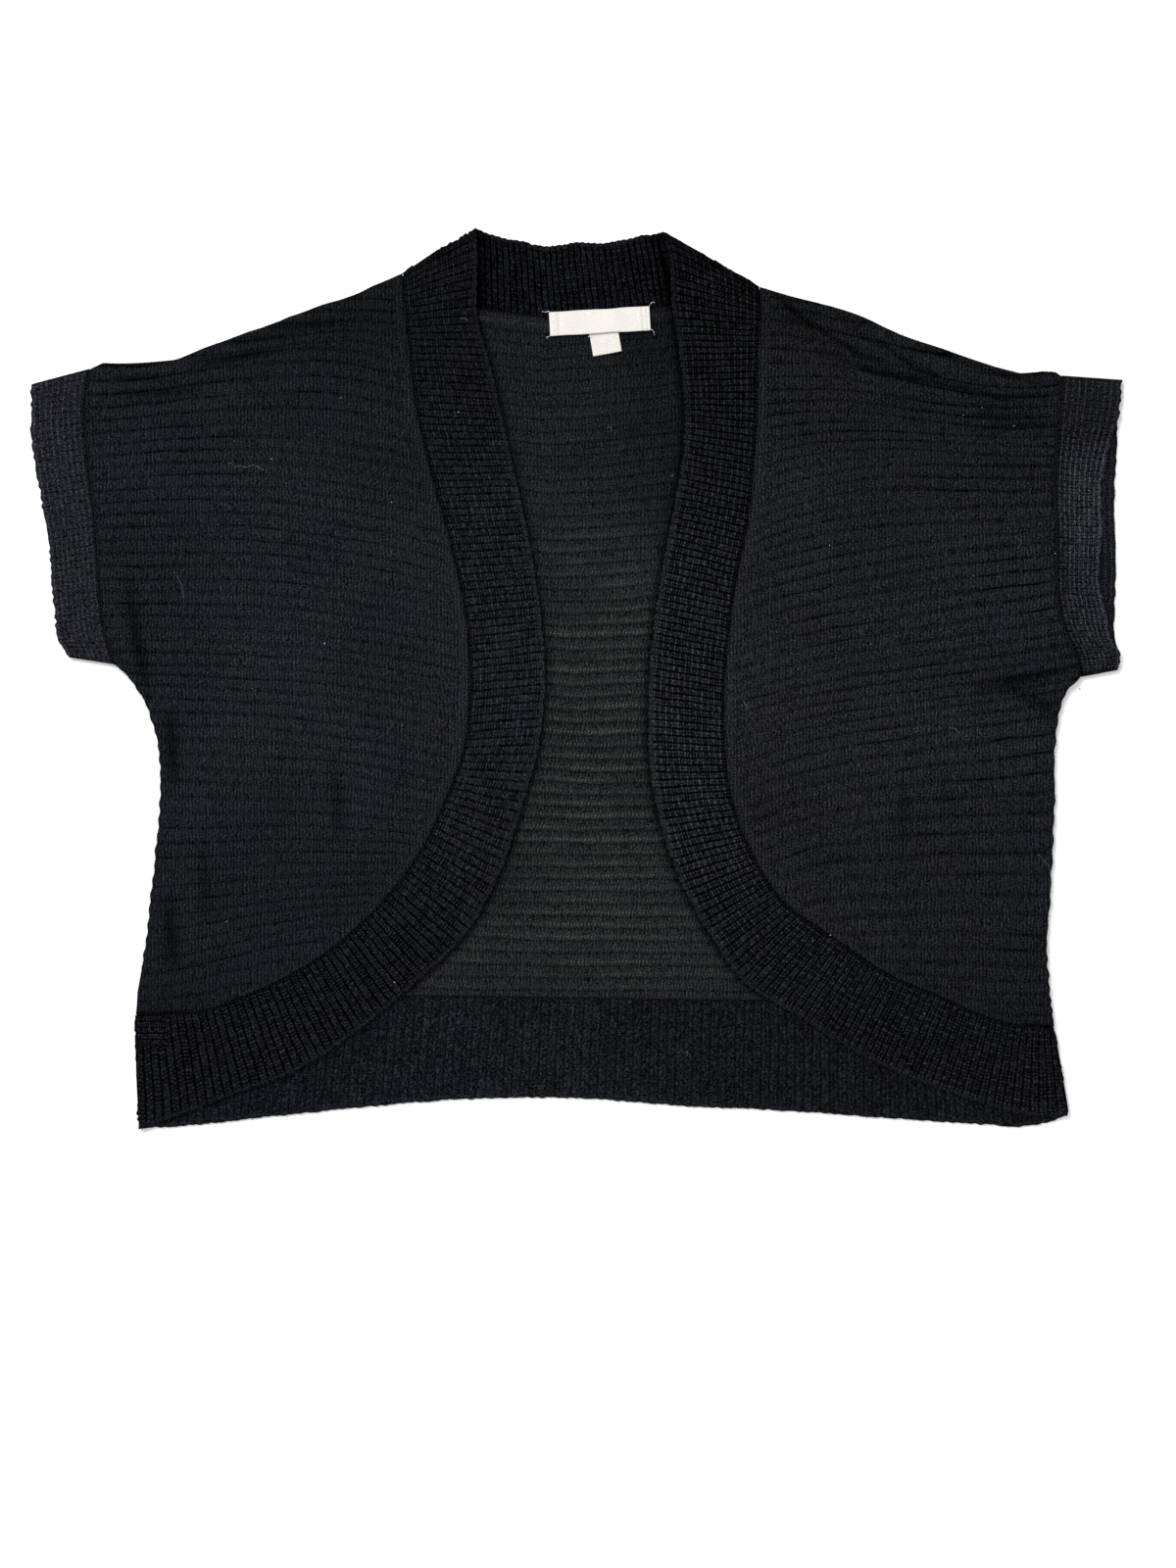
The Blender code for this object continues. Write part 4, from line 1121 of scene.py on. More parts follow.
@dataclass(frozen=True, kw_only=True)
class WaffleFinish(Finish):
    """Waffle rib: rows of small raised cells in a dark lattice."""

    other: Colour
    line: float
    half: float
    gap: float
    broken: float
    grain: float
    rib: float = WAFFLE_PITCH
    dot: float = DOT
    loose: float = 0.0
    second: float = 0.5
    stagger: float = 0.3
    width: float = 0.12
    patch: float = 150.0
    bump_depth: float = 0.6

    def wire(self, w: Wiring, effects: Effects) -> tuple[Socket, Socket]:
        """The yarn's colour is multiplied by the shade of its cell, which is painted shade in the lattice
        between the cells, by the mottle and by the piece's own tone, which carries painted shade and
        highlights. On a rolled edge, where "plain" is 1, the cells fade. Where "deep" is 1, a rib's two rows
        lie closer, and a loose rib's cells are out of step."""
        deep = w.attribute("deep")
        cells = w.group(
            effects.waffle_cells, Rib=self.rib * MM, Dot=self.dot * MM,
            Line=w.linear(deep, 0.25 * self.loose - 0.15, self.line),
            Half=w.linear(deep, 0.2 - 0.1 * self.loose, self.half),
            Gap=w.linear(deep, 0.2 * self.loose - 0.15, self.gap),
            Stagger=w.linear(deep, 0.45 * self.loose, self.stagger),
            Width=w.linear(deep, 0.01, self.width),
            Broken=w.linear(deep, -0.5 * self.broken, self.broken), Patch=self.patch,
            Second=w.linear(deep, 0.4 * self.loose - 0.4, self.second),
        )
        grain = w.linear(deep, 0.3, self.grain)
        mottle = w.group(effects.mottle, Amount=0.6, Grain=grain, Cool=w.attribute("cool"))
        fuzz = w.group(effects.yarn_fuzz)
        plain = w.times(w.attribute("plain"), 0.6)
        cell = w.times(cells["Shade"], w.rest(plain))
        cell = w.linear(plain, 0.8, cell)
        shade = w.times(cell, w.times(mottle["Shade"], w.attribute("tone")))
        colour = w.mix(mottle["Tint"], opaque(self.yarn), opaque(self.other))
        height = w.times(cells["Height"], w.rest(plain))
        return w.shade(colour, shade), w.linear(fuzz["Height"], FUZZ_SHARE, height)


@dataclass(frozen=True, kw_only=True)
class TapeFinish(Finish):
    """White woven tape: a fine plain weave, slightly grey in its gaps."""

    name: str = "white_tape"
    yarn: Colour = (0.66, 0.645, 0.605)
    gap: Colour = (0.48, 0.47, 0.43)
    thread: float = 0.36
    rough: float = 0.7
    specular: float = 0.3
    bump: float = 0.5
    bump_depth: float = 0.15

    def wire(self, w: Wiring, effects: Effects) -> tuple[Socket, Socket]:
        """White threads, greyer in the gaps and where the tape is shaded."""
        weave = w.group(effects.tape_weave, Thread=self.thread * MM)
        mottle = w.group(effects.mottle, Amount=0.12, Grain=0.1)
        colour = w.mix(w.times(weave["Gap"], 0.6), opaque(self.yarn), opaque(self.gap))
        colour = w.shade(colour, w.times(mottle["Shade"], w.attribute("tone")))
        return colour, weave["Height"]


@dataclass(frozen=True, kw_only=True)
class ThreadFinish(Finish):
    """Thread, lint or hair: one yarn colour that varies along it."""

    rough: float = 0.8
    specular: float = 0.15
    bump: float = 0.3
    bump_depth: float = 0.1

    def wire(self, w: Wiring, effects: Effects) -> tuple[Socket, Socket]:
        """The yarn's colour is multiplied by an uneven shade, and fine fibres are its relief."""
        mottle = w.group(effects.mottle, Amount=0.8)
        fuzz = w.group(effects.yarn_fuzz)
        return w.shade(opaque(self.yarn), mottle["Shade"]), fuzz["Height"]


OUTSIDE_YARN = (0.0096, 0.0103, 0.0125)
OUTSIDE_OTHER = (0.0105, 0.0108, 0.0117)
BAND_YARN = (0.0160, 0.0172, 0.0216)
BAND_OTHER = (0.0171, 0.0179, 0.0202)
FINISHES: tuple[Finish, ...] = (
    RippleFinish(
        name="ripple_left", yarn=OUTSIDE_YARN, other=OUTSIDE_OTHER, dash=0.6, line=0.8, grain=1.15,
    ),
    RippleFinish(
        name="ripple_right", yarn=OUTSIDE_YARN, other=OUTSIDE_OTHER, dash=0.72, line=0.95, grain=1.35,
    ),
    RippleFinish(
        name="ripple_inside", yarn=(0.0117, 0.0126, 0.0144), other=(0.0120, 0.0127, 0.0136), dash=0.6,
        line=0.3, show_through=0.8, under=0.42, grain=1.1,
    ),
    WaffleFinish(
        name="waffle_left", yarn=BAND_YARN, other=BAND_OTHER, line=0.95, half=0.35, gap=0.75, width=0.11,
        broken=0.25, patch=220.0, loose=1.0, second=0.35, grain=1.5,
    ),
    WaffleFinish(
        name="waffle_right", yarn=BAND_YARN, other=BAND_OTHER, line=1.0, half=0.7, gap=0.8, second=0.85,
        width=0.14, broken=0.1, grain=1.6,
    ),
    WaffleFinish(
        name="waffle_hem", yarn=(0.0084, 0.0091, 0.0117), other=(0.0089, 0.0093, 0.0108), rib=HEM_PITCH,
        dot=2.1, line=0.55, half=0.35, gap=0.15, second=0.0, stagger=1.0, broken=0.1, grain=2.0,
    ),
    WaffleFinish(
        name="waffle_cuff", yarn=(0.0133, 0.0139, 0.0168), other=(0.0140, 0.0144, 0.0158), rib=CUFF_PITCH,
        dot=1.7, line=0.7, half=0.65, gap=0.7, second=1.2, stagger=0.2, broken=0.4, patch=330.0, grain=1.8,
    ),
    WaffleFinish(
        name="waffle_neck", yarn=(0.0158, 0.0172, 0.0228), other=(0.0166, 0.0178, 0.0214), rib=NECK_PITCH,
        line=1.0, half=0.8, gap=0.5, width=0.17, broken=0.2, grain=2.2,
    ),
    TapeFinish(),
    ThreadFinish(name="black_thread", yarn=(0.0050, 0.0054, 0.0064)),
    ThreadFinish(name="white_thread", yarn=(0.70, 0.69, 0.66)),
    ThreadFinish(name="lint", yarn=(0.21, 0.22, 0.24)),
)


# ---- pieces


@dataclass(kw_only=True)
class Part:
    """Something that is built as one mesh, in one finish."""

    name: str
    finish: str
    slot: Slot = Slot.THREAD

    def shape(self) -> MeshParts:
        """The part's closed mesh."""
        raise NotImplementedError

    def build(self, material: Material, heights: HeightMap) -> Object:
        """Makes the part's object.

        Args:
            material: Its finish.
            heights: The height map, not used here.

        Returns:
            The linked object.
        """
        return self.shape().build(self.name, material)

    def hand_over(self, obj: Object) -> None:
        """Rides the part on the garment."""
        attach(obj, BODY)
        obj.data.calc_loop_triangles()
        LOG.info("%s: %d triangles", obj.name, len(obj.data.loop_triangles))


@dataclass(kw_only=True)
class Trim(Part):
    """Something fine that lies on the cloth built before it, at the heights of that cloth."""

    heights: HeightMap


@dataclass(kw_only=True)
class Cloth(Part):
    """A piece of cloth that stands for the solid of its name."""

    flat: Pair = (0.0, 0.0)
    area: float | None = None
    slot: Slot = Slot.WAFFLE
    rests_on: tuple[str, ...] = ()
    kind: str = "knit"

    def build(self, material: Material, heights: HeightMap) -> Object:
        """Makes the cloth's object and raises the height map to it.

        Args:
            material: Its finish.
            heights: The height map.

        Returns:
            The linked object.
        """
        parts = self.shape()
        heights.add(parts.points)
        return parts.build(f"{self.name}_{self.kind}", material)

    def hand_over(self, obj: Object) -> None:
        super().hand_over(obj)
        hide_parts(self.name)
        list(self.rests_on)


def rolled_over(relief: Array, rolled: Array, height: float) -> Array:
    """A relief that flattens where an edge is rolled, and rises to the roll's own height."""
    return relief * (1 - 0.7 * rolled) + height * rolled


def stepped(at: Array, table: Steps) -> Array:
    """Values read from a table of places and values, straight from row to row."""
    return np.interp(at, *np.array(table).T)


def off_bands(x: Array, y: Array) -> tuple[Array, Array]:
    """How far points lie inwards from the left and right bands' free edges, or 0 under a band."""
    left, right = x - Line(BAND_EDGE_LEFT).x_at(y), Line(BAND_EDGE_RIGHT).x_at(y) - x
    return np.maximum(left, 0), np.maximum(right, 0)


@dataclass
class RippleRelief:
    """The ripple knit's relief, from a rib number and a place."""

    noise: SoftNoise
    rise: float = 0.72
    width: float = 0.2

    def at(self, rib: Array, x: Array, y: Array) -> tuple[Array, Array, Layers]:
        """A sunken row lies where the phase is whole. The phase is the rib number plus a small
        noise, so rows wander. A row's depth varies along it, and the band between is a flat arch.
        Another noise says whether a row shows as dashes or as a thin line.

        Args:
            rib: Rib number at each point.
            x: Place to the right.
            y: Place upwards.

        Returns:
            The height in millimetres, the phase, and the strengths of "dash" and "line".
        """
        phase = rib + 0.11 * self.noise.at(x, y, 46, 30) + 0.07 * self.noise.at(x + 91, y, 15, 9)
        away = np.abs(phase - np.round(phase))
        depth = np.clip(0.8 + 0.4 * self.noise.at(x + 500, y + 40, 34, 9), 0.35, 1.0)
        sunk = (1 - ramp(away / self.width, 0.2, 1.3)) * depth
        arch = 1 - 0.35 * (1 - np.minimum(away / 0.5, 1.0)) ** 2
        kind = self.noise.at(x + 900, y + 70, 40, 26) + 0.4 * self.noise.at(x, y + 600, 16, 8)
        marks = {
            "dash": np.clip(depth * (1.0 + 0.6 * kind), 0.4, 1.0),
            "line": np.clip(depth * (0.6 - 0.8 * kind), 0.15, 1.0),
        }
        return self.rise * arch * (1 - sunk), phase, marks


@dataclass(kw_only=True)
class FrontPanel(Cloth):
    """A front with its half of the sleeve, in ripple knit, lying on the back."""

    shoulder: Line
    cuff_seam: Line
    side: Line
    band_seam: Line
    stations: Table
    folds: Table
    creases: Table
    seed: int
    slot: Slot = Slot.RIPPLE
    rests_on: tuple[str, ...] = ("back_panel", "hem_band")
    hidden: tuple[float, ...] = ()
    rows_a_rib: int = 7
    columns: int = 186
    seam_strip: float = 5.6
    tones: Steps = (
        (-200, 0.76), (-150, 0.85), (-110, 0.9), (-20, 1.03), (50, 1.0), (110, 0.92), (150, 0.83),
        (183, 0.78), (211, 0.64),
    )

    def plan(self, rib: Array, across: Array) -> Array:
        """Rows of points along the ribs, straight from the outer outline to the band seam, plus
        two cubic bows, each highest a third of the way from one end."""
        knots, outer_at, *rest = np.array(self.stations).T
        band_y, bow_side, bow_band = (glide(rib, knots, values) for values in rest)
        stations = np.interp(rib, knots, outer_at)
        outer = np.zeros((len(rib), 2))
        for number, line in enumerate((self.shoulder, self.cuff_seam, self.side)):
            here = (stations >= number) & (stations <= number + 1)
            outer[here] = line.at_share(stations[here] - number)
        plan = between(outer, self.band_seam.at_height(band_y), across)
        near_side = THIRD_BOW * across * (across - 2 / 3) * (across - 1)
        near_band = -THIRD_BOW * across * (across - 1 / 3) * (across - 1)
        plan[:, :, 1] += bow_side[:, None] * near_side + bow_band[:, None] * near_band
        return plan

    def hide_rows(self, rib: Array, across: Array) -> Array:
        """What is added to the rib numbers so that a hidden row fades out towards the side: there
        the bands above and below it close up, by a half each."""
        fade = 1 - ramp(across, 0.1, 0.75)
        knots = [0.0, *(row + side for row in self.hidden for side in (-0.01, 0.01)), RIBS]
        offsets = [0.0, *(side for _ in self.hidden for side in (-0.5, 0.5)), 0.0]
        return np.interp(rib, knots, offsets)[:, None] * fade[None, :]

    def shape(self) -> MeshParts:
        """Rows of points over the back, raised by air, folds and the knit's own relief."""
        length, width = RIBS * RIB_PITCH, 1000 * self.flat[0]
        even_rows = np.linspace(0.0, length, RIBS * self.rows_a_rib + 1)
        rib = steps_with_ends(even_rows, length) / RIB_PITCH
        across = steps_with_ends(np.linspace(0.0, width, self.columns), width) / width
        plan = self.plan(rib, across)
        x, y = plan[:, :, 0], plan[:, :, 1]
        from_side, from_seam = row_distances(plan)
        from_end = RIB_PITCH * np.minimum(rib, RIBS - rib)[:, None]
        noise = SoftNoise(self.seed)
        down = (rib / RIBS)[:, None]
        inside = from_edge(across[None, :], AIR_ACROSS) * from_edge(down, AIR_DOWN)
        base = FRONT_BASE + (OVER_BAND_BASE - FRONT_BASE) * ramp(-y, *RISE_TO_HEM)
        sway = 0.45 * noise.at(x, y, 38, 26) + 0.22 * noise.at(x + 70, y, 15, 12)
        low = base + np.maximum(AIR * inside + strokes(x, y, self.folds) + sway * inside, 0.0)
        relief, phase, marks = RippleRelief(noise).at(rib[:, None] + self.hide_rows(rib, across), x, y)
        strip = 1 - ramp(from_seam, self.seam_strip - 1.5, self.seam_strip + 2.5)
        for row in self.hidden:
            strip = np.maximum(strip, bell(rib - row, 0.14)[:, None] * (1 - ramp(across, 0.3, 0.75)))
        # The rows' marks, which include painted shadow lines, are bolder near the sides and higher up.
        bold = 0.92 + 0.38 * (1 - ramp(from_side, 20, 130)) * ramp(y, -60, 40)
        marks = {key: value * bold * (1 - strip) for key, value in marks.items()}
        relief = relief * (1 - strip) + 0.45 * strip
        crease = strokes(x, y, self.creases)
        relief = relief - CREASE_DEPTH * crease
        # Painted shade in the seam's groove with a lighter line beside it, painted shade in the creases, and
        # darker towards the ends and sides.
        tone = 1 + 0.10 * bell(from_seam - 3.2, 2.6) - 0.35 * bell(from_seam, 1.5)
        tone *= 1 - CREASE_SHADE * np.clip(crease, 0.0, 1.0)
        uneven = 0.10 * noise.at(x, y + 200, 60, 40)
        tone *= 1 + uneven - 0.25 * bell(from_end, 2.5) - 0.12 * bell(from_side, 2.0)
        tone *= stepped(y, self.tones) * (1 - 0.12 * ramp(-x, 190, 235) * (1 - ramp(y, 70, 120)))
        wave = 0.5 * noise.at(x[:, 0], y[:, 0], 6) - 0.35 * np.cos(2 * np.pi * phase[:, 0])
        fade = from_edge(rib / RIBS, 0.03)
        plan = waved(plan, wave * fade, from_side)
        plan = waved(plan, 0.4 * noise.at(x[:, -1], y[:, -1], 4.0) * fade, from_seam)
        pattern, layers = (x, phase * RIB_PITCH), {**marks, "tone": tone}
        nearest = np.minimum(from_side, from_seam)
        return Wall(plan, BODY_WALL, relief, pattern, layers, nearest, from_end, low).parts()


@dataclass(kw_only=True)
class BackPanel(Cloth):
    """The back with its halves of the sleeves, flat on the surface, seen inside out."""

    name: str = "back_panel"
    finish: str = "ripple_inside"
    flat: Pair = (0.580, 0.428)
    area: float = 0.2180
    slot: Slot = Slot.RIPPLE
    rows_a_rib: int = 6
    window: Pair = (-112.0, 108.0)
    fine: float = 1.45
    coarse: float = 9.0
    tones: Steps = (
        (-185, 1.02), (-60, 1.0), (-10, 1.01), (25, 1.08), (60, 1.06), (130, 0.86), (170, 0.8), (195, 0.68),
    )

    def plan(self, columns_x: Array, down: Array) -> Array:
        """Points by both widths and heights: a point is its height's share between the top and
        bottom lines plus its width's share between the sides, less what both count twice."""
        left = np.vstack([Line(CUFF_SEAM_LEFT, SLEEVE_GAP).points, Line(SIDE_LEFT).points[1:]])
        right = np.vstack([Line(CUFF_SEAM_RIGHT, -SLEEVE_GAP).points, Line(SIDE_RIGHT).points[1:]])
        top = np.vstack([
            Line(SHOULDER_LEFT[::-1]).points[:-1],
            Line(NECK_SEAM, -SEAM_GAP, straight=True).points,
            Line(SHOULDER_RIGHT).points[1:],
        ])
        bottom = Line(HEM_SEAM, SEAM_GAP).points
        across = (columns_x - columns_x[0]) / (columns_x[-1] - columns_x[0])

        def by_height(edge: Array) -> Array:
            """Points of a side at even shares of its height."""
            y = edge[0, 1] + (edge[-1, 1] - edge[0, 1]) * down
            return np.column_stack([np.interp(-y, -edge[:, 1], edge[:, 0]), y])

        def by_width(edge: Array) -> Array:
            """Points of the top or bottom line at shares of its width."""
            x = edge[0, 0] + (edge[-1, 0] - edge[0, 0]) * across
            return np.column_stack([x, np.interp(x, edge[:, 0], edge[:, 1])])

        left, right, top, bottom = by_height(left), by_height(right), by_width(top), by_width(bottom)
        s, t = down[:, None, None], across[None, :, None]
        top[0], top[-1] = left[0], right[0]
        corners = (1 - s) * ((1 - t) * top[0] + t * top[-1]) + s * ((1 - t) * bottom[0] + t * bottom[-1])
        return (1 - s) * top[None] + s * bottom[None] + (1 - t) * left[:, None] + t * right[:, None] - corners

    def shape(self) -> MeshParts:
        """Rows of small columns where the panel shows and of wide ones under the fronts."""
        low_x, high_x = SHOULDER_LEFT[-1][0], SHOULDER_RIGHT[-1][0]
        fine = np.arange(self.window[0], self.window[1], self.fine)
        outer = np.concatenate([
            np.arange(low_x, self.window[0], self.coarse), np.arange(self.window[1], high_x, self.coarse),
        ])
        width = high_x - low_x
        columns_x = low_x + steps_with_ends(np.sort(np.concatenate([fine, outer])) - low_x, width)
        length = RIBS * RIB_PITCH
        rows = steps_with_ends(np.linspace(0.0, length, RIBS * self.rows_a_rib + 1), length)
        plan = self.plan(columns_x, rows / length)
        x, y = plan[:, :, 0], plan[:, :, 1]
        rib = rows[:, None] / RIB_PITCH
        noise = SoftNoise(7)
        relief, phase, marks = RippleRelief(noise, rise=0.6, width=0.24).at(rib, x, y)
        first, last = self.window
        relief *= ramp(x, first - 6, first + 2) * (1 - ramp(x, last - 2, last + 6))
        start, end = row_distances(plan)
        from_end = np.minimum(rows, length - rows)[:, None]
        off_left, off_right = off_bands(x, y)
        # Painted shadow that the bands' free edges cast on the back.
        tone = (1 - 0.5 * bell(off_left, 3.6)) * (1 - 0.75 * bell(off_right, 3.6))
        tone *= 1 + 0.12 * noise.at(x, y, 50, 34)
        tone *= stepped(y, self.tones)
        under_neck = np.interp(x, *Line(NECK_SEAM, straight=True).points.T) - y
        tone *= 1 - 0.32 * ramp(x, 0, 50) * ramp(y, 60, 130)
        # Painted shade in the neck seam's groove, and a lighter line about 4 mm below it.
        tone *= 1 + 1.1 * bell(under_neck - 4.0, 2.2) - 0.5 * bell(under_neck - 0.2, 1.0)
        # Painted light from the pale surface below, seen through the rows: some rows more than others, less
        # towards the top, and most in a broad pool in the middle of the back.
        row_glow = np.clip(0.75 + 0.6 * noise.at(x, np.round(phase) * 5.7, 30, 4.1), 0.25, 1.3)
        glow = 0.34 - 0.2 * ramp(y, 20, 80) + 0.66 * bell(x - 12, 48) * bell(y + 42, 150)
        glow = glow * row_glow * np.clip(tone, 0.0, 1.0)
        marks |= {"tone": tone, "glow": glow, "cool": 1.5 * ramp(y, 20, 80) - 0.5}
        pattern, nearest = (x, phase * RIB_PITCH), np.minimum(start, end)
        return Wall(plan, BODY_WALL, relief, pattern, marks, nearest, from_end).parts()


@dataclass
class WaffleRelief:
    """The waffle rib's relief, from a rib number and a distance across the band."""

    noise: SoftNoise
    double: float
    rise: float = 0.8

    def at(self, rib: Array, x: Array, y: Array) -> tuple[Array, Array]:
        """The phase is the rib number plus a small noise. The height is a half less the cosine of
        the phase's turn and a share of the cosine of twice that, for a rib's two rows.

        Args:
            rib: Rib number at each point.
            x: Place to the right.
            y: Place upwards.

        Returns:
            The height in millimetres, and the phase.
        """
        phase = rib + 0.07 * self.noise.at(x, y, 24) + 0.04 * self.noise.at(x + 60, y, 7)
        turn = 2 * np.pi * phase
        height = 0.5 - (0.5 - self.double) * np.cos(turn) - self.double * np.cos(2 * turn)
        return self.rise * np.clip(height + 0.05 * self.noise.at(x + 40, y, 6), 0.0, 1.1), phase


@dataclass(kw_only=True)
class FrontBand(Cloth):
    """A front band from its neck fold round to the hem, in waffle rib."""

    seam: Line
    edge: Line
    ribs: Table
    seed: int
    double: float
    tones: Steps
    rests_on: tuple[str, ...] = ("back_panel", "hem_band", "neck_band")
    patch: Pair = (0.0, 0.0)
    rows_a_rib: int = 8

    def shape(self) -> MeshParts:
        """Rows from the seam to the free edge, which is rolled. In a patch at the hem's end, the
        ribs run along the band instead."""
        knots, pitch, leans = np.array(self.ribs, float).T
        reach = np.arange(0.0, knots[-1] + 1.0, 1.0)
        counted = np.append(0.0, np.cumsum(1.0 / np.interp(reach[:-1], knots, pitch)))
        ribs = 2 * round(counted[-1] / 2)
        rib = np.arange(0, ribs * self.rows_a_rib + 1) / self.rows_a_rib
        travel = np.interp(rib * counted[-1] / ribs, counted, reach)
        length = travel[-1]
        travel = steps_with_ends(travel, length, (0.0, 0.3, 0.9, 1.8))
        rib = np.interp(travel, reach, counted) * ribs / counted[-1]
        lean = glide(travel, knots, leans)
        start = np.clip((travel - lean / 2) / length, 0.0, 1.0)
        end = np.clip((travel + lean / 2) / length, 0.0, 1.0)
        width = 1000 * self.flat[0]
        across = steps_with_ends(np.arange(0.0, width, COLUMN), width) / width
        plan = between(self.seam.at_share(start), self.edge.at_share(end), across)
        x, y = plan[:, :, 0], plan[:, :, 1]
        from_seam, from_free = row_distances(plan)
        from_end = np.minimum(travel, length - travel)[:, None]
        noise = SoftNoise(self.seed)
        relief, phase = WaffleRelief(noise, double=self.double).at(rib[:, None], x, y)
        patch = (travel[:, None] > length - self.patch[0]) & (from_seam < self.patch[1])
        turned = from_seam / PATCH_PITCH
        relief = np.where(patch, 0.6 * np.abs(np.sin(np.pi * turned)), relief)
        rolled = bell(from_free - 1.4, 1.3)
        relief = rolled_over(relief, rolled, 0.75)
        sway = 0.35 * noise.at(x, y, 30) * from_edge(across[None, :], 0.3)
        roll = NECK_ROLL * np.sin(np.pi * np.clip(travel / NECK_ROLL_LENGTH, 0.0, 1.0)) ** 2
        low = OVER_BAND_BASE + roll[:, None] + np.maximum(sway, 0.0)
        # Painted highlight on the rolled edge and painted shade in the seam's groove.
        tone = (1 + 0.25 * rolled) * (1 - 0.45 * bell(from_seam, 1.5)) * (1 + 0.08 * noise.at(x, y + 50, 40))
        # Painted shade of the neck fold over the band's first few millimetres.
        tone *= (1 - 0.3 * bell(travel[:, None], 9.0)) * stepped(travel, self.tones)[:, None]
        wave = 0.4 * noise.at(x[:, -1], y[:, -1], 3.3) - 0.14 * np.cos(2 * np.pi * phase[:, -1])
        plan = waved(plan, wave * from_edge(travel / length, 0.03), from_free, 3.0)
        plan = waved_ends(plan, 0.7, 3.3, noise)
        pattern = (
            np.where(patch, travel[:, None], across[None, :] * width),
            np.where(patch, turned, phase) * WAFFLE_PITCH,
        )
        layers = {"tone": tone, "plain": rolled, "deep": ramp(travel, *DEEP_STRETCH)[:, None]}
        nearest = np.minimum(from_seam, from_free)
        return Wall(
            plan, BAND_WALL, relief, pattern, layers, nearest, from_end, low, end_radius=2.2,
        ).parts()


@dataclass(kw_only=True)
class HemBand(Cloth):
    """The back hem band, flat on the surface, with upright ribs."""

    name: str = "hem_band"
    finish: str = "waffle_hem"
    flat: Pair = (0.540, 0.078)
    area: float = 0.0362
    rows_a_rib: int = 6
    columns: int = 30
    depth: float = 66.0
    tones: Steps = ((-257, 0.98), (-150, 0.9), (-60, 1.08), (60, 1.0), (130, 0.85), (288, 0.84))

    def shape(self) -> MeshParts:
        """Upright rows from the seam down to the hem edge."""
        seam, edge = Line(HEM_SEAM), Line(HEM_EDGE)
        ribs = 2 * round(seam.length / HEM_PITCH / 2)
        even = np.linspace(0.0, seam.length, ribs * self.rows_a_rib + 1)
        travel = steps_with_ends(even, seam.length)
        share = travel / seam.length
        lean = HEM_LEAN / edge.length * from_edge(share, HEM_LEAN_SHARE)
        even = np.linspace(0.0, self.depth, self.columns)
        across = steps_with_ends(even, self.depth) / self.depth
        plan = between(seam.at_share(share), edge.at_share(share + lean), across)
        bow = HEM_BOW * np.sin(np.pi * across)[None, :]
        outwards = ramp(share, 1 - HEM_BOW_SHARE, 1.0) - ramp(1 - share, 1 - HEM_BOW_SHARE, 1.0)
        plan[:, :, 0] += bow * outwards[:, None]
        x, y = plan[:, :, 0], plan[:, :, 1]
        rib = (share * ribs)[:, None]
        noise = SoftNoise(21)
        relief, phase = WaffleRelief(noise, rise=0.6, double=0.1).at(rib, x, y)
        from_seam, from_free = row_distances(plan)
        rolled = bell(from_free - EDGE_ROLL, EDGE_ROLL)
        relief = rolled_over(relief, rolled, 0.6)
        from_end = np.minimum(travel, seam.length - travel)[:, None]
        # Painted highlight on the rolled edge and painted shade in the seam's groove.
        tone = (1 + 0.35 * rolled) * (1 - 0.3 * bell(from_seam, 1.6)) * (1 + 0.06 * noise.at(x, y, 45))
        tone *= stepped(x, self.tones)
        wave = 0.45 * noise.at(x[:, -1], y[:, -1], 3.3) - 0.15 * np.cos(2 * np.pi * phase[:, -1])
        plan = waved(plan, wave * from_edge(share, 0.02), from_free, 3.0)
        pattern, layers = (across[None, :] * self.depth, phase * HEM_PITCH), {"tone": tone, "plain": rolled}
        nearest = np.minimum(from_seam, from_free)
        return Wall(plan, BAND_WALL, relief, pattern, layers, nearest, from_end).parts()


@dataclass(kw_only=True)
class NeckBand(Cloth):
    """The back neck band, flat on the surface between the two neck folds."""

    name: str = "neck_band"
    finish: str = "waffle_neck"
    flat: Pair = (0.209, 0.045)
    area: float = 0.00680
    rows_a_rib: int = 8
    depth: float = 42.0

    def shape(self) -> MeshParts:
        """Rows from the free edge down to the neck seam. The front bands shade both ends."""
        edge, seam = Line(NECK_EDGE), Line(NECK_SEAM, straight=True)
        rows, edge_ends, seam_ends = np.array(NECK_ROWS, float).T
        last = rows[-1]
        row = np.arange(0, last * self.rows_a_rib / 2 + 1) * 2 / self.rows_a_rib
        row = np.sort(np.append(row, [0.08, last - 0.08]))
        edge_x, seam_x = np.interp(row, rows, edge_ends), np.interp(row, rows, seam_ends)
        across = steps_with_ends(np.arange(0.0, self.depth, COLUMN), self.depth) / self.depth
        plan = between(edge.at_width(edge_x), seam.at_width(seam_x), across)
        x, y = plan[:, :, 0], plan[:, :, 1]
        noise = SoftNoise(33)
        relief, phase = WaffleRelief(noise, double=0.1).at(row[:, None] / 2, x, y)
        from_free, from_seam = row_distances(plan)
        rolled = bell(from_free - EDGE_ROLL, EDGE_ROLL)
        relief = rolled_over(relief, rolled, 0.7)
        from_end = 0.5 * np.minimum(row, last - row)[:, None] * NECK_PITCH
        # Painted highlight on the rolled edge.
        tone = 1 + 0.4 * rolled
        # Painted shadow of the front bands over both ends.
        for off in off_bands(x, y):
            tone *= 1 - 0.7 * bell(off, 8.0)
        # Painted shade in the seam's groove.
        tone *= 0.35 * (1 + 0.1 * noise.at(x, y, 30)) * (1 - 0.4 * bell(from_seam, 1.5))
        wave = 0.45 * noise.at(x[:, 0], y[:, 0], 3.3) - 0.2 * np.cos(2 * np.pi * phase[:, 0])
        plan = waved(plan, wave * from_edge(row / last, 0.05), from_free, 3.0)
        pattern, layers = (across[None, :] * self.depth, phase * NECK_PITCH), {"tone": tone, "plain": rolled}
        nearest = np.minimum(from_free, from_seam)
        return Wall(plan, BAND_WALL, relief, pattern, layers, nearest, from_end).parts()


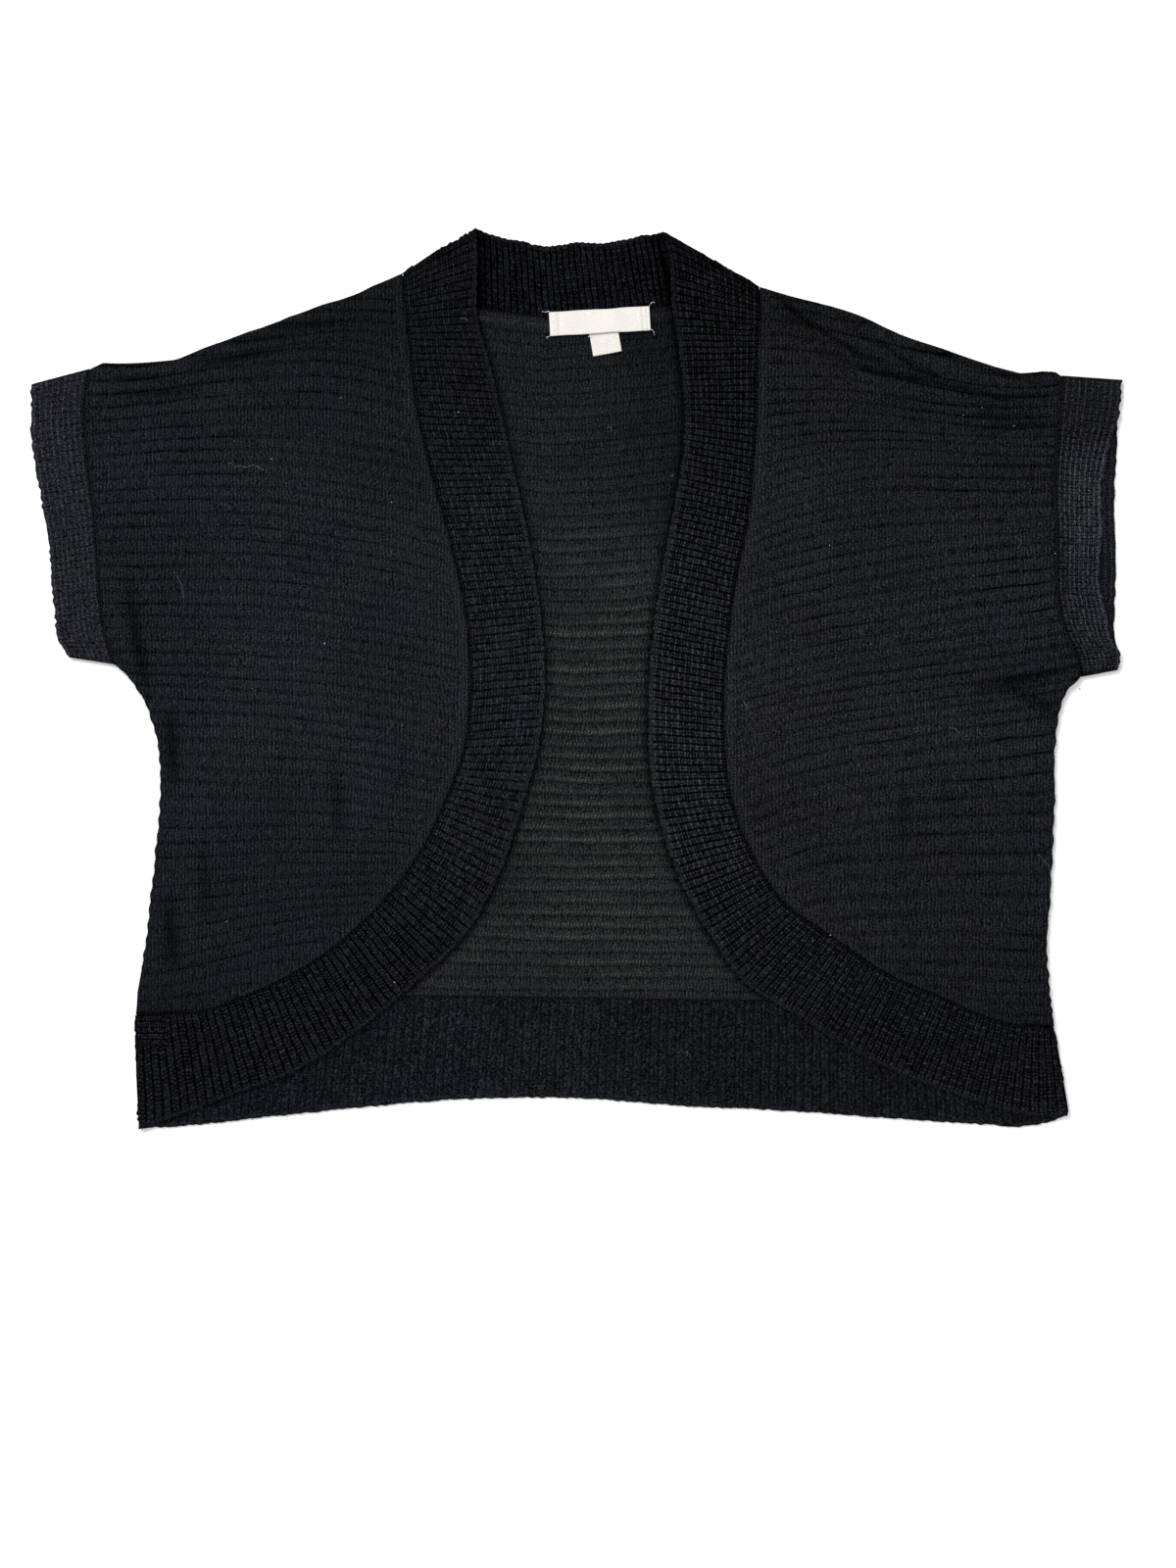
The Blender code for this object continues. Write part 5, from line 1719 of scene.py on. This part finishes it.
@dataclass(kw_only=True)
class Cuff(Cloth):
    """A flattened tube of waffle rib at the end of a sleeve."""

    seam: Line
    front_end: Line
    back_end: Line
    leans: Pair
    seed: int
    finish: str = "waffle_cuff"
    rows_a_rib: int = 8
    back_steps: int = 70
    turn_steps: int = 10
    depth: float = 32.0
    # How much painted light falls on the front layer near its free end.
    lit_end: float = 0.0
    plain_top: float = 0.0
    calm: float = 0.0

    def ring(self, half: float) -> Layers:
        """One turn of the tube: its front, a half circle round the fold, its back and the other fold."""
        ribs = round(self.seam.length / CUFF_PITCH)
        front = np.linspace(0.0, 1.0, ribs * self.rows_a_rib + 1)
        back = np.linspace(1.0, 0.0, self.back_steps + 1)
        angle = np.linspace(0.0, np.pi, self.turn_steps + 1)[1:-1]
        turned = np.linspace(0.0, 1.0, len(angle))
        none = np.zeros_like(angle)
        return {
            "share": np.concatenate([front, none + 1, back, none]),
            "height": np.concatenate([
                0 * front + half, half * np.cos(angle), 0 * back - half, -half * np.cos(angle),
            ]),
            "reach": np.concatenate([0 * front, half * np.sin(angle), 0 * back, -half * np.sin(angle)]),
            "layer": np.concatenate([0 * front, turned, 0 * back + 1, turned[::-1]]),
            "rib": np.concatenate([front * ribs, none + ribs, back * ribs, none]),
        }

    def surface(self, half: float, across: Array) -> tuple[Array, Layers]:
        """The tube's plan at a half height, rows round it by columns along its depth."""
        turn = self.ring(half)
        middle = BAND_WALL + CUFF_HOLLOW / 2
        inset = middle / self.seam.length
        down = 1 - inset - (1 - 2 * inset) * turn["share"] - turn["reach"] / self.seam.length
        lean = np.interp(down, (0.0, 1.0), self.leans) * from_edge(down, CUFF_LEAN_SHARE)
        end_down = down + lean * (1 - turn["layer"]) / self.seam.length
        layer = turn["layer"][:, None]
        end = self.front_end.at_share(end_down) * (1 - layer) + self.back_end.at_share(end_down) * layer
        plan = between(self.seam.at_share(down), end, across)
        return np.dstack([plan, middle + turn["height"][:, None] + 0 * plan[:, :, 0]]), turn

    def shape(self) -> MeshParts:
        """An outer knitted face, a plain inner one, and a rounded rim at each end."""
        across = steps_with_ends(np.arange(0.0, self.depth, 1.1), self.depth) / self.depth
        half = BAND_WALL + CUFF_HOLLOW / 2
        outer, turn = self.surface(half, across)
        inner, _ = self.surface(CUFF_HOLLOW / 2, across)
        noise = SoftNoise(self.seed)
        distance = across[None, :] * self.depth
        ragged = 0.7 * noise.at(outer[:, -1, 1], 40 * turn["layer"], 2.4)[:, None]
        ragged = ragged * bell(self.depth - distance, 3.0)
        for face in (outer, inner):
            face[:, :, 0] += np.sign(face[:, :, 0]) * ragged
        x, y = outer[:, :, 0], outer[:, :, 1]
        relief, phase = WaffleRelief(noise, double=0.15).at(turn["rib"][:, None], x, y)
        from_seam, from_free = row_distances(outer[:, :, :2])
        edge = np.minimum(from_seam, from_free)
        rolled = bell(from_free - EDGE_ROLL, EDGE_ROLL)
        front = (1 - turn["layer"])[:, None]
        relief = rolled_over(relief, rolled, 0.6) * front * ramp(edge, *RELIEF_STARTS)
        swell = rim(edge, 1.0)
        middle = (outer[:, :, 2] + inner[:, :, 2]) / 2
        upwards = (outer[:, :, 2] - inner[:, :, 2]) / 2
        outer[:, :, 2] = middle + upwards * swell + relief
        inner[:, :, 2] = middle - upwards * swell
        columns = len(across)
        under = np.array([1, 3, columns // 2, columns - 4, columns - 2])
        # Painted highlight on the rolled edge and painted shade in the seam's groove.
        tone = (1 + 0.35 * rolled) * (1 - 0.35 * bell(from_seam, 1.8)) * (1 + 0.1 * noise.at(x, y, 30))
        # Painted light on the front layer near its free end and on its roll, between two heights.
        lit = front * ramp(y, -10, 40) * (1 - ramp(y, 120, 150))
        tone *= 1 + self.lit_end * lit * (ramp(distance, 4, 12) + 1.2 * rolled)
        tone *= 1 - self.plain_top * (0.3 * ramp(y, 118, 150) + 0.12 * (1 - ramp(y, 55, 85)))
        plain = np.maximum(np.maximum(rolled, self.calm), 0.6 * self.plain_top * ramp(y, 128, 160))
        pattern, layers = (distance, phase * CUFF_PITCH), {"tone": tone, "plain": plain}
        # The tube's inner face gets painted shade: its tone is 0.6 of the outer face's.
        return Rings(outer, inner[:, under], under, pattern, layers).parts(joined=True, lower_shade=0.6)


@dataclass(kw_only=True)
class Label(Cloth):
    """A bare woven label: a thin rectangle of tape with soft edges, turned in plan."""

    centre: Pair
    base: float
    length: float
    width: float
    tilt: float
    wave: float
    seed: int
    folded: bool
    finish: str = "white_tape"
    slot: Slot = Slot.TAPE
    kind: str = "tape"

    def __post_init__(self) -> None:
        """The cut of what shows is the label's own size."""
        self.flat = (self.length * MM, self.width * MM)

    def shape(self) -> MeshParts:
        """Its face sways by a small noise, and where its ends are folded under, it is a little
        thicker over the last few millimetres."""
        ends = (0.0, 0.1, 0.25, 0.5)
        along = steps_with_ends(np.linspace(0.0, self.length, int(self.length) + 1), self.length, ends)
        over = steps_with_ends(np.linspace(0.0, self.width, int(self.width) + 1), self.width, ends)
        s, t = np.meshgrid(along, over, indexing="ij")
        noise = SoftNoise(self.seed)
        angle = math.radians(self.tilt)
        dx, dy = s - self.length / 2, t - self.width / 2
        dy = dy * (1 + 0.03 * noise.at(s, 0 * s, 9))
        plan = np.dstack([
            self.centre[0] + dx * math.cos(angle) - dy * math.sin(angle),
            self.centre[1] + dx * math.sin(angle) + dy * math.cos(angle),
        ])
        from_end = np.minimum(s, self.length - s)
        from_side = np.minimum(t, self.width - t)
        low = self.base + self.wave * (1 + noise.at(s, t, 14)) / 2
        fold = (1 - ramp(from_end, 4.0, 4.8)) if self.folded else 0 * s
        tone = 1 - 0.22 * bell(from_end - 4.6, 0.5) * self.folded - 0.15 * bell(from_side, 0.5)
        tone *= 1 + 0.03 * noise.at(s, t + 30, 7)
        return Wall(
            plan, TAPE_WALL, 0.18 * fold, (s, t), {"tone": tone}, from_side, from_end, low,
            side_radius=0.25, end_radius=0.25,
        ).parts()


# ---- sewing, lint and fuzz


def merge(parts: list[MeshParts]) -> MeshParts:
    """Several sets of quads as one."""
    offsets = np.cumsum([0] + [len(part.points) for part in parts[:-1]])
    points = np.vstack([part.points for part in parts])
    return MeshParts(points, np.vstack([part.quads + start for part, start in zip(parts, offsets)]))


@dataclass(kw_only=True)
class SeamStitches(Trim):
    """Stitches over the seams, the cords under them, and an overlocked edge inside the neck."""

    pitch: float = 2.3
    reach: float = 0.9
    radius: float = 0.17

    def across_seam(self, line: Line, low: float, high: float, seed: int) -> MeshParts:
        """Short stitches over a seam: arcs whose height is a sine, leaning a little by turns.

        Args:
            line: The seam.
            low: Share of the line where they start.
            high: Share of the line where they end.
            seed: Seed of the small differences.

        Returns:
            The tubes.
        """
        rng = np.random.default_rng(seed)
        count = int((high - low) * line.length / self.pitch)
        share = low + (high - low) * (np.arange(count) + 0.5 + 0.15 * rng.uniform(-1, 1, count)) / count
        middle, normal = line.at_share(share), line.normal_at(share)
        tangent = np.column_stack([normal[:, 1], -normal[:, 0]])
        t = np.linspace(-1.0, 1.0, 5)
        size = self.reach * (1 + 0.25 * rng.uniform(-1, 1, count))
        lean = 0.35 + 0.2 * rng.uniform(-1, 1, count)
        plan = middle[:, None] + normal[:, None] * (size[:, None] * t)[:, :, None]
        plan = plan + tangent[:, None] * (lean[:, None] * t)[:, :, None]
        top = self.heights.at(middle[:, 0], middle[:, 1])
        z = top[:, None] - 0.55 + 0.35 * np.cos(t * np.pi / 2)[None, :]
        return tubes(np.dstack([plan, np.maximum(z, self.radius)]), self.radius)

    def overlock(self) -> MeshParts:
        """A zigzag thread along the inside of the neck seam: a triangle wave about a line."""
        seam = Line(NECK_SEAM, -4.2, straight=True)
        x = np.arange(-52.0, 52.0, 0.5)
        base = seam.at_width(x)
        wave = 2.1 * (2 * np.abs((x / 2.2) % 1.0 - 0.5) * 2 - 1)
        y = base[:, 1] + wave
        z = self.heights.at(x, y) + 0.05 + 0.12 * np.cos(2 * np.pi * x / 2.2)
        return tubes(np.column_stack([x, y, z])[None], 0.3)

    def cord(self, line: Line, radius: float, height: float) -> MeshParts:
        """The turned-in cloth under a seam, as a tube along it."""
        plan = line.at_share(np.linspace(0.002, 0.998, int(line.length / 3)))
        return tubes(np.column_stack([plan, np.full(len(plan), height)])[None], radius)

    def shape(self) -> MeshParts:
        """Every seam's stitches, the cords and the overlocked edge."""
        sleeves = (Line(CUFF_SEAM_LEFT, SLEEVE_GAP / 2), Line(CUFF_SEAM_RIGHT, -SLEEVE_GAP / 2))
        low_seams = (Line(HEM_SEAM, SEAM_GAP / 2), Line(NECK_SEAM, -SEAM_GAP / 2, straight=True))
        stitched = (
            (Line(BAND_SEAM_LEFT), 0.02, 0.99), (Line(BAND_SEAM_RIGHT), 0.02, 0.99),
            (Line(CUFF_SEAM_LEFT), 0.03, 0.97), (Line(CUFF_SEAM_RIGHT), 0.03, 0.97),
            (Line(HEM_SEAM), 0.29, 0.66), (Line(NECK_SEAM, straight=True), 0.24, 0.74),
        )
        seams = [
            *(self.cord(line, 0.75, height) for line in sleeves for height in (1.1, 2.7)),
            *(self.cord(line, 0.4, 0.8) for line in low_seams),
            *(self.across_seam(*seam, seed) for seed, seam in enumerate(stitched, 1)),
            self.overlock(),
        ]
        return merge(seams)


@dataclass(kw_only=True)
class LabelStitches(Trim):
    """The neck label's tack stitches."""

    def shape(self) -> MeshParts:
        """Straight stitches down both ends of the label, and loose tails at its corners. A tail is
        bent aside by a sine."""
        angle = math.radians(NECK_LABEL_TILT)
        centre = np.array(NECK_LABEL_CENTRE)
        turn = np.array([[math.cos(angle), math.sin(angle)], [-math.sin(angle), math.cos(angle)]])
        stitches = []
        for x in (-STITCHES_X, STITCHES_X):
            for step in np.linspace(-STITCHES_Y, STITCHES_Y, 8):
                plan = np.array([(x, step + off) for off in (-0.5, 0.0, 0.5)]) @ turn + centre
                z = self.heights.at(plan[:, 0], plan[:, 1]) + np.array([-0.02, 0.1, -0.02])
                stitches.append(np.column_stack([plan, z]))
        tails = []
        for x, y, dx, dy, bend in (
            (-29.3, 6.6, -4.0, 1.5, 1.2), (-29.0, -6.4, -2.5, -2.2, -0.8), (29.3, 6.8, 3.6, 2.4, -1.0),
            (29.0, -6.6, 2.6, -3.0, 0.9), (-6.0, -7.0, -1.4, -1.8, 0.5),
        ):
            t = np.linspace(0.0, 1.0, 9)
            local = np.column_stack([
                x + dx * t + bend * np.sin(np.pi * t), y + dy * t + bend * np.sin(2 * np.pi * t) / 2,
            ])
            plan = local @ turn + centre
            z = self.heights.at(plan[:, 0], plan[:, 1]) + 0.15
            tails.append(np.column_stack([plan, z]))
        return merge([tubes(np.array(stitches), 0.16), tubes(np.array(tails), 0.14)])


# Columns: x, y, size.
SPECKS: Table = [
    (-69.3, 156.1, 0.55), (-106.7, -178, 0.5), (-147.5, 20.4, 0.6), (-138.3, 164.2, 0.4),
    (-178.5, 128.5, 0.4), (148.6, -150.4, 0.45), (138.3, -153.8, 0.4), (295.8, -5.9, 0.5),
    (280.3, 73.3, 0.4), (256.2, 148.1, 0.45), (237.2, 158.4, 0.4), (226.3, 154.1, 0.4),
    (148.1, 77.9, 0.5), (-108.4, 103.2, 0.4), (-282.6, 57.8, 0.4), (203.8, -196.4, 0.45),
    (56.1, 119.3, 0.4), (-205, -142.3, 0.45), (-155, -142.3, 0.4), (-132, 30, 0.35), (-90, -60, 0.3),
    (172, 20, 0.35), (130, 120, 0.3), (-210, 90, 0.3), (232, 60, 0.3), (10, -120, 0.3),
]
# Columns: x, y, to_x, to_y, bend, curl.
HAIRS: Table = [
    (-236, 62.4, -230.3, 47.4, 1.5, 0), (-200.4, 123.3, -182, 122.2, 1.6, 1.1),
    (-204.4, 126.2, -201, 124, 0.8, 0), (-190.6, -6, -188, -9, 1, 1), (196.4, -30.2, 198.5, -32, 3, 0),
    (218.2, -29, 224, -31.9, 1, 0), (226.8, -34.2, 229, -36, 1.6, 0), (199.2, 5.5, 201.5, 3.5, 1, 0),
    (256.7, 83.1, 258.5, 76.2, 2.6, 0), (96.9, -12.9, 99.8, -18.7, 1, 0.5),
    (17.5, 146.9, 20, 145, 2.2, 0), (-68.1, 210.7, -63.5, 209.5, 0.8, 0),
    (270, -103.2, 278, -116.4, 2, 0.5), (62.4, -220, 64.5, -222, 2.4, 0),
]


@dataclass(kw_only=True)
class LooseFibres(Trim):
    """Specks of lint and fine pale hairs lying on the cloth."""

    slot: Slot = Slot.FIBRE

    def shape(self) -> MeshParts:
        """A speck is a short fat tube whose radius is an arc. A hair runs straight from end to end,
        bent aside by a sine and, where it curls, by a faster one."""
        rng = np.random.default_rng(5)
        start_x, start_y, size = np.array(SPECKS).T[:, :, None]
        t = np.linspace(-1.0, 1.0, 5)
        angle = rng.uniform(0, np.pi, len(SPECKS))[:, None]
        x, y = start_x + size * t * np.cos(angle), start_y + size * t * np.sin(angle)
        z = np.maximum(self.heights.at(start_x, start_y) + 0.12, 0.6 * size) + 0 * x
        fat = size * 0.75 * np.sqrt(1.04 - t**2)
        hair_x, hair_y, to_x, to_y, bend, curl = np.array(HAIRS).T[:, :, None]
        s = np.linspace(0.0, 1.0, 15)
        run_x, run_y = to_x - hair_x, to_y - hair_y
        aside = bend * np.sin(np.pi * s) + curl * np.sin(4 * np.pi * s) * 0.6
        aside = aside / np.hypot(run_x, run_y)
        hx, hy = hair_x + run_x * s - run_y * aside, hair_y + run_y * s + run_x * aside
        hz = self.heights.at(hx, hy) + 0.12
        return merge([tubes(np.dstack([x, y, z]), fat), tubes(np.dstack([hx, hy, hz]), 0.045)])


FUZZ_RADII = (0.07, 0.06, 0.05, 0.02)


@dataclass(kw_only=True)
class EdgeFuzz(Trim):
    """Short dark fibres that stand out from the garment's outline and its band edges."""

    spacing: float = 3.0

    def along(self, line: Line, outwards: float, seed: int) -> MeshParts:
        """Fibres along a line: each leaves it at a random slant and curves as a square.

        Args:
            line: The edge.
            outwards: 1 if the outside is to the line's left, -1 if to its right.
            seed: Seed of the fibres.

        Returns:
            The tubes.
        """
        rng = np.random.default_rng(seed)
        count = int(line.length / self.spacing)
        share = rng.uniform(0.0, 1.0, count)
        start, normal = line.at_share(share), line.normal_at(share) * outwards
        tangent = np.column_stack([normal[:, 1], -normal[:, 0]])
        length = rng.uniform(0.7, 2.2, count)
        slant, curve = rng.uniform(-1.2, 1.2, count), rng.uniform(-0.5, 0.5, count)
        t = np.linspace(0.0, 1.0, 4)[None, :, None]
        aside = slant[:, None, None] * t + curve[:, None, None] * t * t
        reach = length[:, None, None] * (normal[:, None] * t + tangent[:, None] * aside)
        plan = start[:, None] - 0.3 * normal[:, None] + reach
        inner = start - normal * 1.2
        base = self.heights.at(inner[:, 0], inner[:, 1]) * rng.uniform(0.45, 0.95, count)
        z = base[:, None] + rng.uniform(-0.4, 0.5, count)[:, None] * t[:, :, 0]
        return tubes(np.dstack([plan, np.maximum(z, 0.15)]), np.array(FUZZ_RADII))

    def shape(self) -> MeshParts:
        """The fibres of every edge."""
        edges = (
            (SHOULDER_LEFT, 1), (SHOULDER_RIGHT, 1), (CUFF_EDGE_LEFT, -1), (CUFF_EDGE_RIGHT_BACK, 1),
            (CUFF_EDGE_RIGHT_FRONT, 1), (SIDE_LEFT, -1), (SIDE_RIGHT, 1), (HEM_EDGE, -1), (NECK_EDGE, 1),
            (BAND_EDGE_LEFT, 1), (BAND_EDGE_RIGHT, -1),
        )
        return merge([self.along(Line(points), side, seed) for seed, (points, side) in enumerate(edges, 60)])


# ---- studio


@dataclass
class Studio:
    """A pale floor, soft lights, a plain world and the camera straight above."""

    aim: Pair = (0.0066, -0.0618)
    height: float = 1.281
    lens: float = 50.0
    sky: float = 0.72
    half: float = 4000.0
    drop: float = 0.02

    def floor(self) -> None:
        """A wide pale floor just under the garment."""
        corners = ((-1, -1), (1, -1), (1, 1), (-1, 1))
        points = np.array([(self.half * x, self.half * y, -self.drop) for x, y in corners])
        material, w, shader = new_material("pale_floor", (0.9, 0.9, 0.9), 0.9, 0.1)
        grain = w.noise(w.place(), 40.0, 2.0)
        pale, paler = opaque((0.89, 0.89, 0.89)), opaque((0.92, 0.92, 0.92))
        w.feed(shader.inputs["Base Color"], w.mix(grain, pale, paler))
        floor = MeshParts(points, np.array([[0, 1, 2, 3]])).build("floor", material, turn=False)
        floor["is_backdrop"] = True

    def light(self, name: str, place: tuple[float, float, float], size: float, power: float) -> None:
        """A soft square light that faces the middle of the garment."""
        lamp = bpy.data.lights.new(name, "AREA")
        lamp.size = size
        lamp.energy = power
        obj = placed(name, lamp)
        obj.location = place
        x, y, z = place
        obj.rotation_euler = (math.atan2(math.hypot(x, y), z), 0.0, math.atan2(x, -y))

    def build(self) -> None:
        """Sets up the stage, the world, the lights and the camera."""
        self.floor()
        scene = bpy.context.scene
        world = bpy.data.worlds.new("studio")
        world.use_nodes = True
        background = world.node_tree.nodes["Background"]
        background.inputs[0].default_value = (1.0, 1.0, 1.0, 1.0)
        background.inputs[1].default_value = self.sky
        scene.world = world
        self.light("key", (-1.1, 1.3, 1.9), 1.2, 62.0)
        self.light("fill", (1.5, -0.6, 1.8), 1.6, 12.0)
        camera = bpy.data.cameras.new("camera")
        camera.lens = self.lens
        camera.sensor_width = 36.0
        camera.clip_start = 0.05
        camera.clip_end = 50.0
        scene.camera = placed("camera", camera)
        scene.camera.location = (*self.aim, self.height)
        scene.view_settings.view_transform = "Standard"
        scene.view_settings.look = "None"


# ---- the garment


@dataclass
class Shrug:
    """The whole garment: builds every piece from the lowest layer up."""

    effects: Effects = field(default_factory=Effects)
    heights: HeightMap = field(default_factory=HeightMap)

    def parts(self) -> list[Part]:
        """Every part, from the lowest layer up."""
        return [
            BackPanel(),
            HemBand(),
            NeckBand(),
            FrontPanel(
                name="front_panel_left", finish="ripple_left", flat=(0.225, 0.436), area=0.0722, seed=11,
                shoulder=Line(SHOULDER_LEFT), cuff_seam=Line(CUFF_SEAM_LEFT, SLEEVE_GAP),
                side=Line(SIDE_LEFT[:-1] + [FRONT_CORNER_LEFT]), band_seam=Line(BAND_SEAM_LEFT, -SEAM_GAP),
                stations=STATIONS_LEFT, folds=FOLDS_LEFT, creases=CREASES_LEFT,
            ),
            FrontPanel(
                name="front_panel_right", finish="ripple_right", flat=(0.210, 0.434), area=0.0698, seed=12,
                shoulder=Line(SHOULDER_RIGHT), cuff_seam=Line(CUFF_SEAM_RIGHT, -SLEEVE_GAP),
                side=Line(SIDE_RIGHT[:-1] + [FRONT_CORNER_RIGHT]), band_seam=Line(BAND_SEAM_RIGHT, SEAM_GAP),
                stations=STATIONS_RIGHT, folds=FOLDS_RIGHT, creases=CREASES_RIGHT, hidden=HIDDEN_RIGHT,
            ),
            FrontBand(
                name="front_band_left", finish="waffle_left", flat=(0.0455, 0.603), area=0.0262, seed=13,
                seam=Line(BAND_SEAM_LEFT), edge=Line(BAND_EDGE_LEFT), ribs=BAND_RIBS_LEFT, double=0.16,
                tones=((0, 0.42), (90, 0.49), (170, 0.78), (330, 0.78), (430, 0.57), (603, 0.50)),
                patch=(21.0, 18.0),
            ),
            FrontBand(
                name="front_band_right", finish="waffle_right", flat=(0.0445, 0.607), area=0.0258, seed=14,
                seam=Line(BAND_SEAM_RIGHT), edge=Line(BAND_EDGE_RIGHT), ribs=BAND_RIBS_RIGHT, double=0.12,
                tones=((0, 0.36), (90, 0.43), (190, 0.80), (330, 0.86), (430, 0.60), (607, 0.55)),
            ),
            Cuff(
                name="cuff_left", flat=(0.350, 0.032), area=0.0100, seed=15, seam=Line(CUFF_SEAM_LEFT),
                front_end=Line(CUFF_EDGE_LEFT), back_end=Line(CUFF_EDGE_LEFT), leans=CUFF_LEAN_LEFT,
                calm=0.7,
            ),
            Cuff(
                name="cuff_right", flat=(0.360, 0.033), area=0.0105, seed=16, seam=Line(CUFF_SEAM_RIGHT),
                front_end=Line(CUFF_EDGE_RIGHT_FRONT), back_end=Line(CUFF_EDGE_RIGHT_BACK),
                leans=CUFF_LEAN_RIGHT, lit_end=0.35, plain_top=1.0,
            ),
            SeamStitches(name="seam_stitches", finish="black_thread", heights=self.heights),
            Label(
                name="size_label", centre=(16.9, 197.3), base=FRONT_BASE, length=17.0, width=13.4,
                tilt=9.5, wave=0.3, seed=41, folded=False,
            ),
            Label(
                name="neck_label", centre=NECK_LABEL_CENTRE, base=OVER_BAND_BASE + TAPE_WALL + LAYER_GAP,
                length=59.0, width=14.0, tilt=NECK_LABEL_TILT, wave=0.5, seed=42, folded=True,
            ),
            LabelStitches(name="label_stitches", finish="white_thread", heights=self.heights),
            LooseFibres(name="lint_and_hairs", finish="lint", heights=self.heights),
            EdgeFuzz(name="edge_fuzz", finish="black_thread", heights=self.heights),
        ]

    def build(self) -> None:
        """Builds every part in its finish, and then hands them all over."""
        finishes = {finish.name: finish.build(self.effects) for finish in FINISHES}
        made = [(part, part.build(finishes[part.finish], self.heights)) for part in self.parts()]
        for part, obj in made:
            part.hand_over(obj)


def corners() -> list[list[float]]:
    """The shown object's lowest and highest corners, as plain lists."""
    return [[float(value) for value in corner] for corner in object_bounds()]


def main() -> None:
    """Loads the frame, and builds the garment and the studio."""
    logging.basicConfig(level=logging.INFO, format="%(name)s: %(message)s")
    for obj in list(bpy.data.objects):
        bpy.data.objects.remove(obj, do_unlink=True)
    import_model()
    Shrug().build()
    Studio().build()
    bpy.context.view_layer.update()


if __name__ == "__main__":
    main()
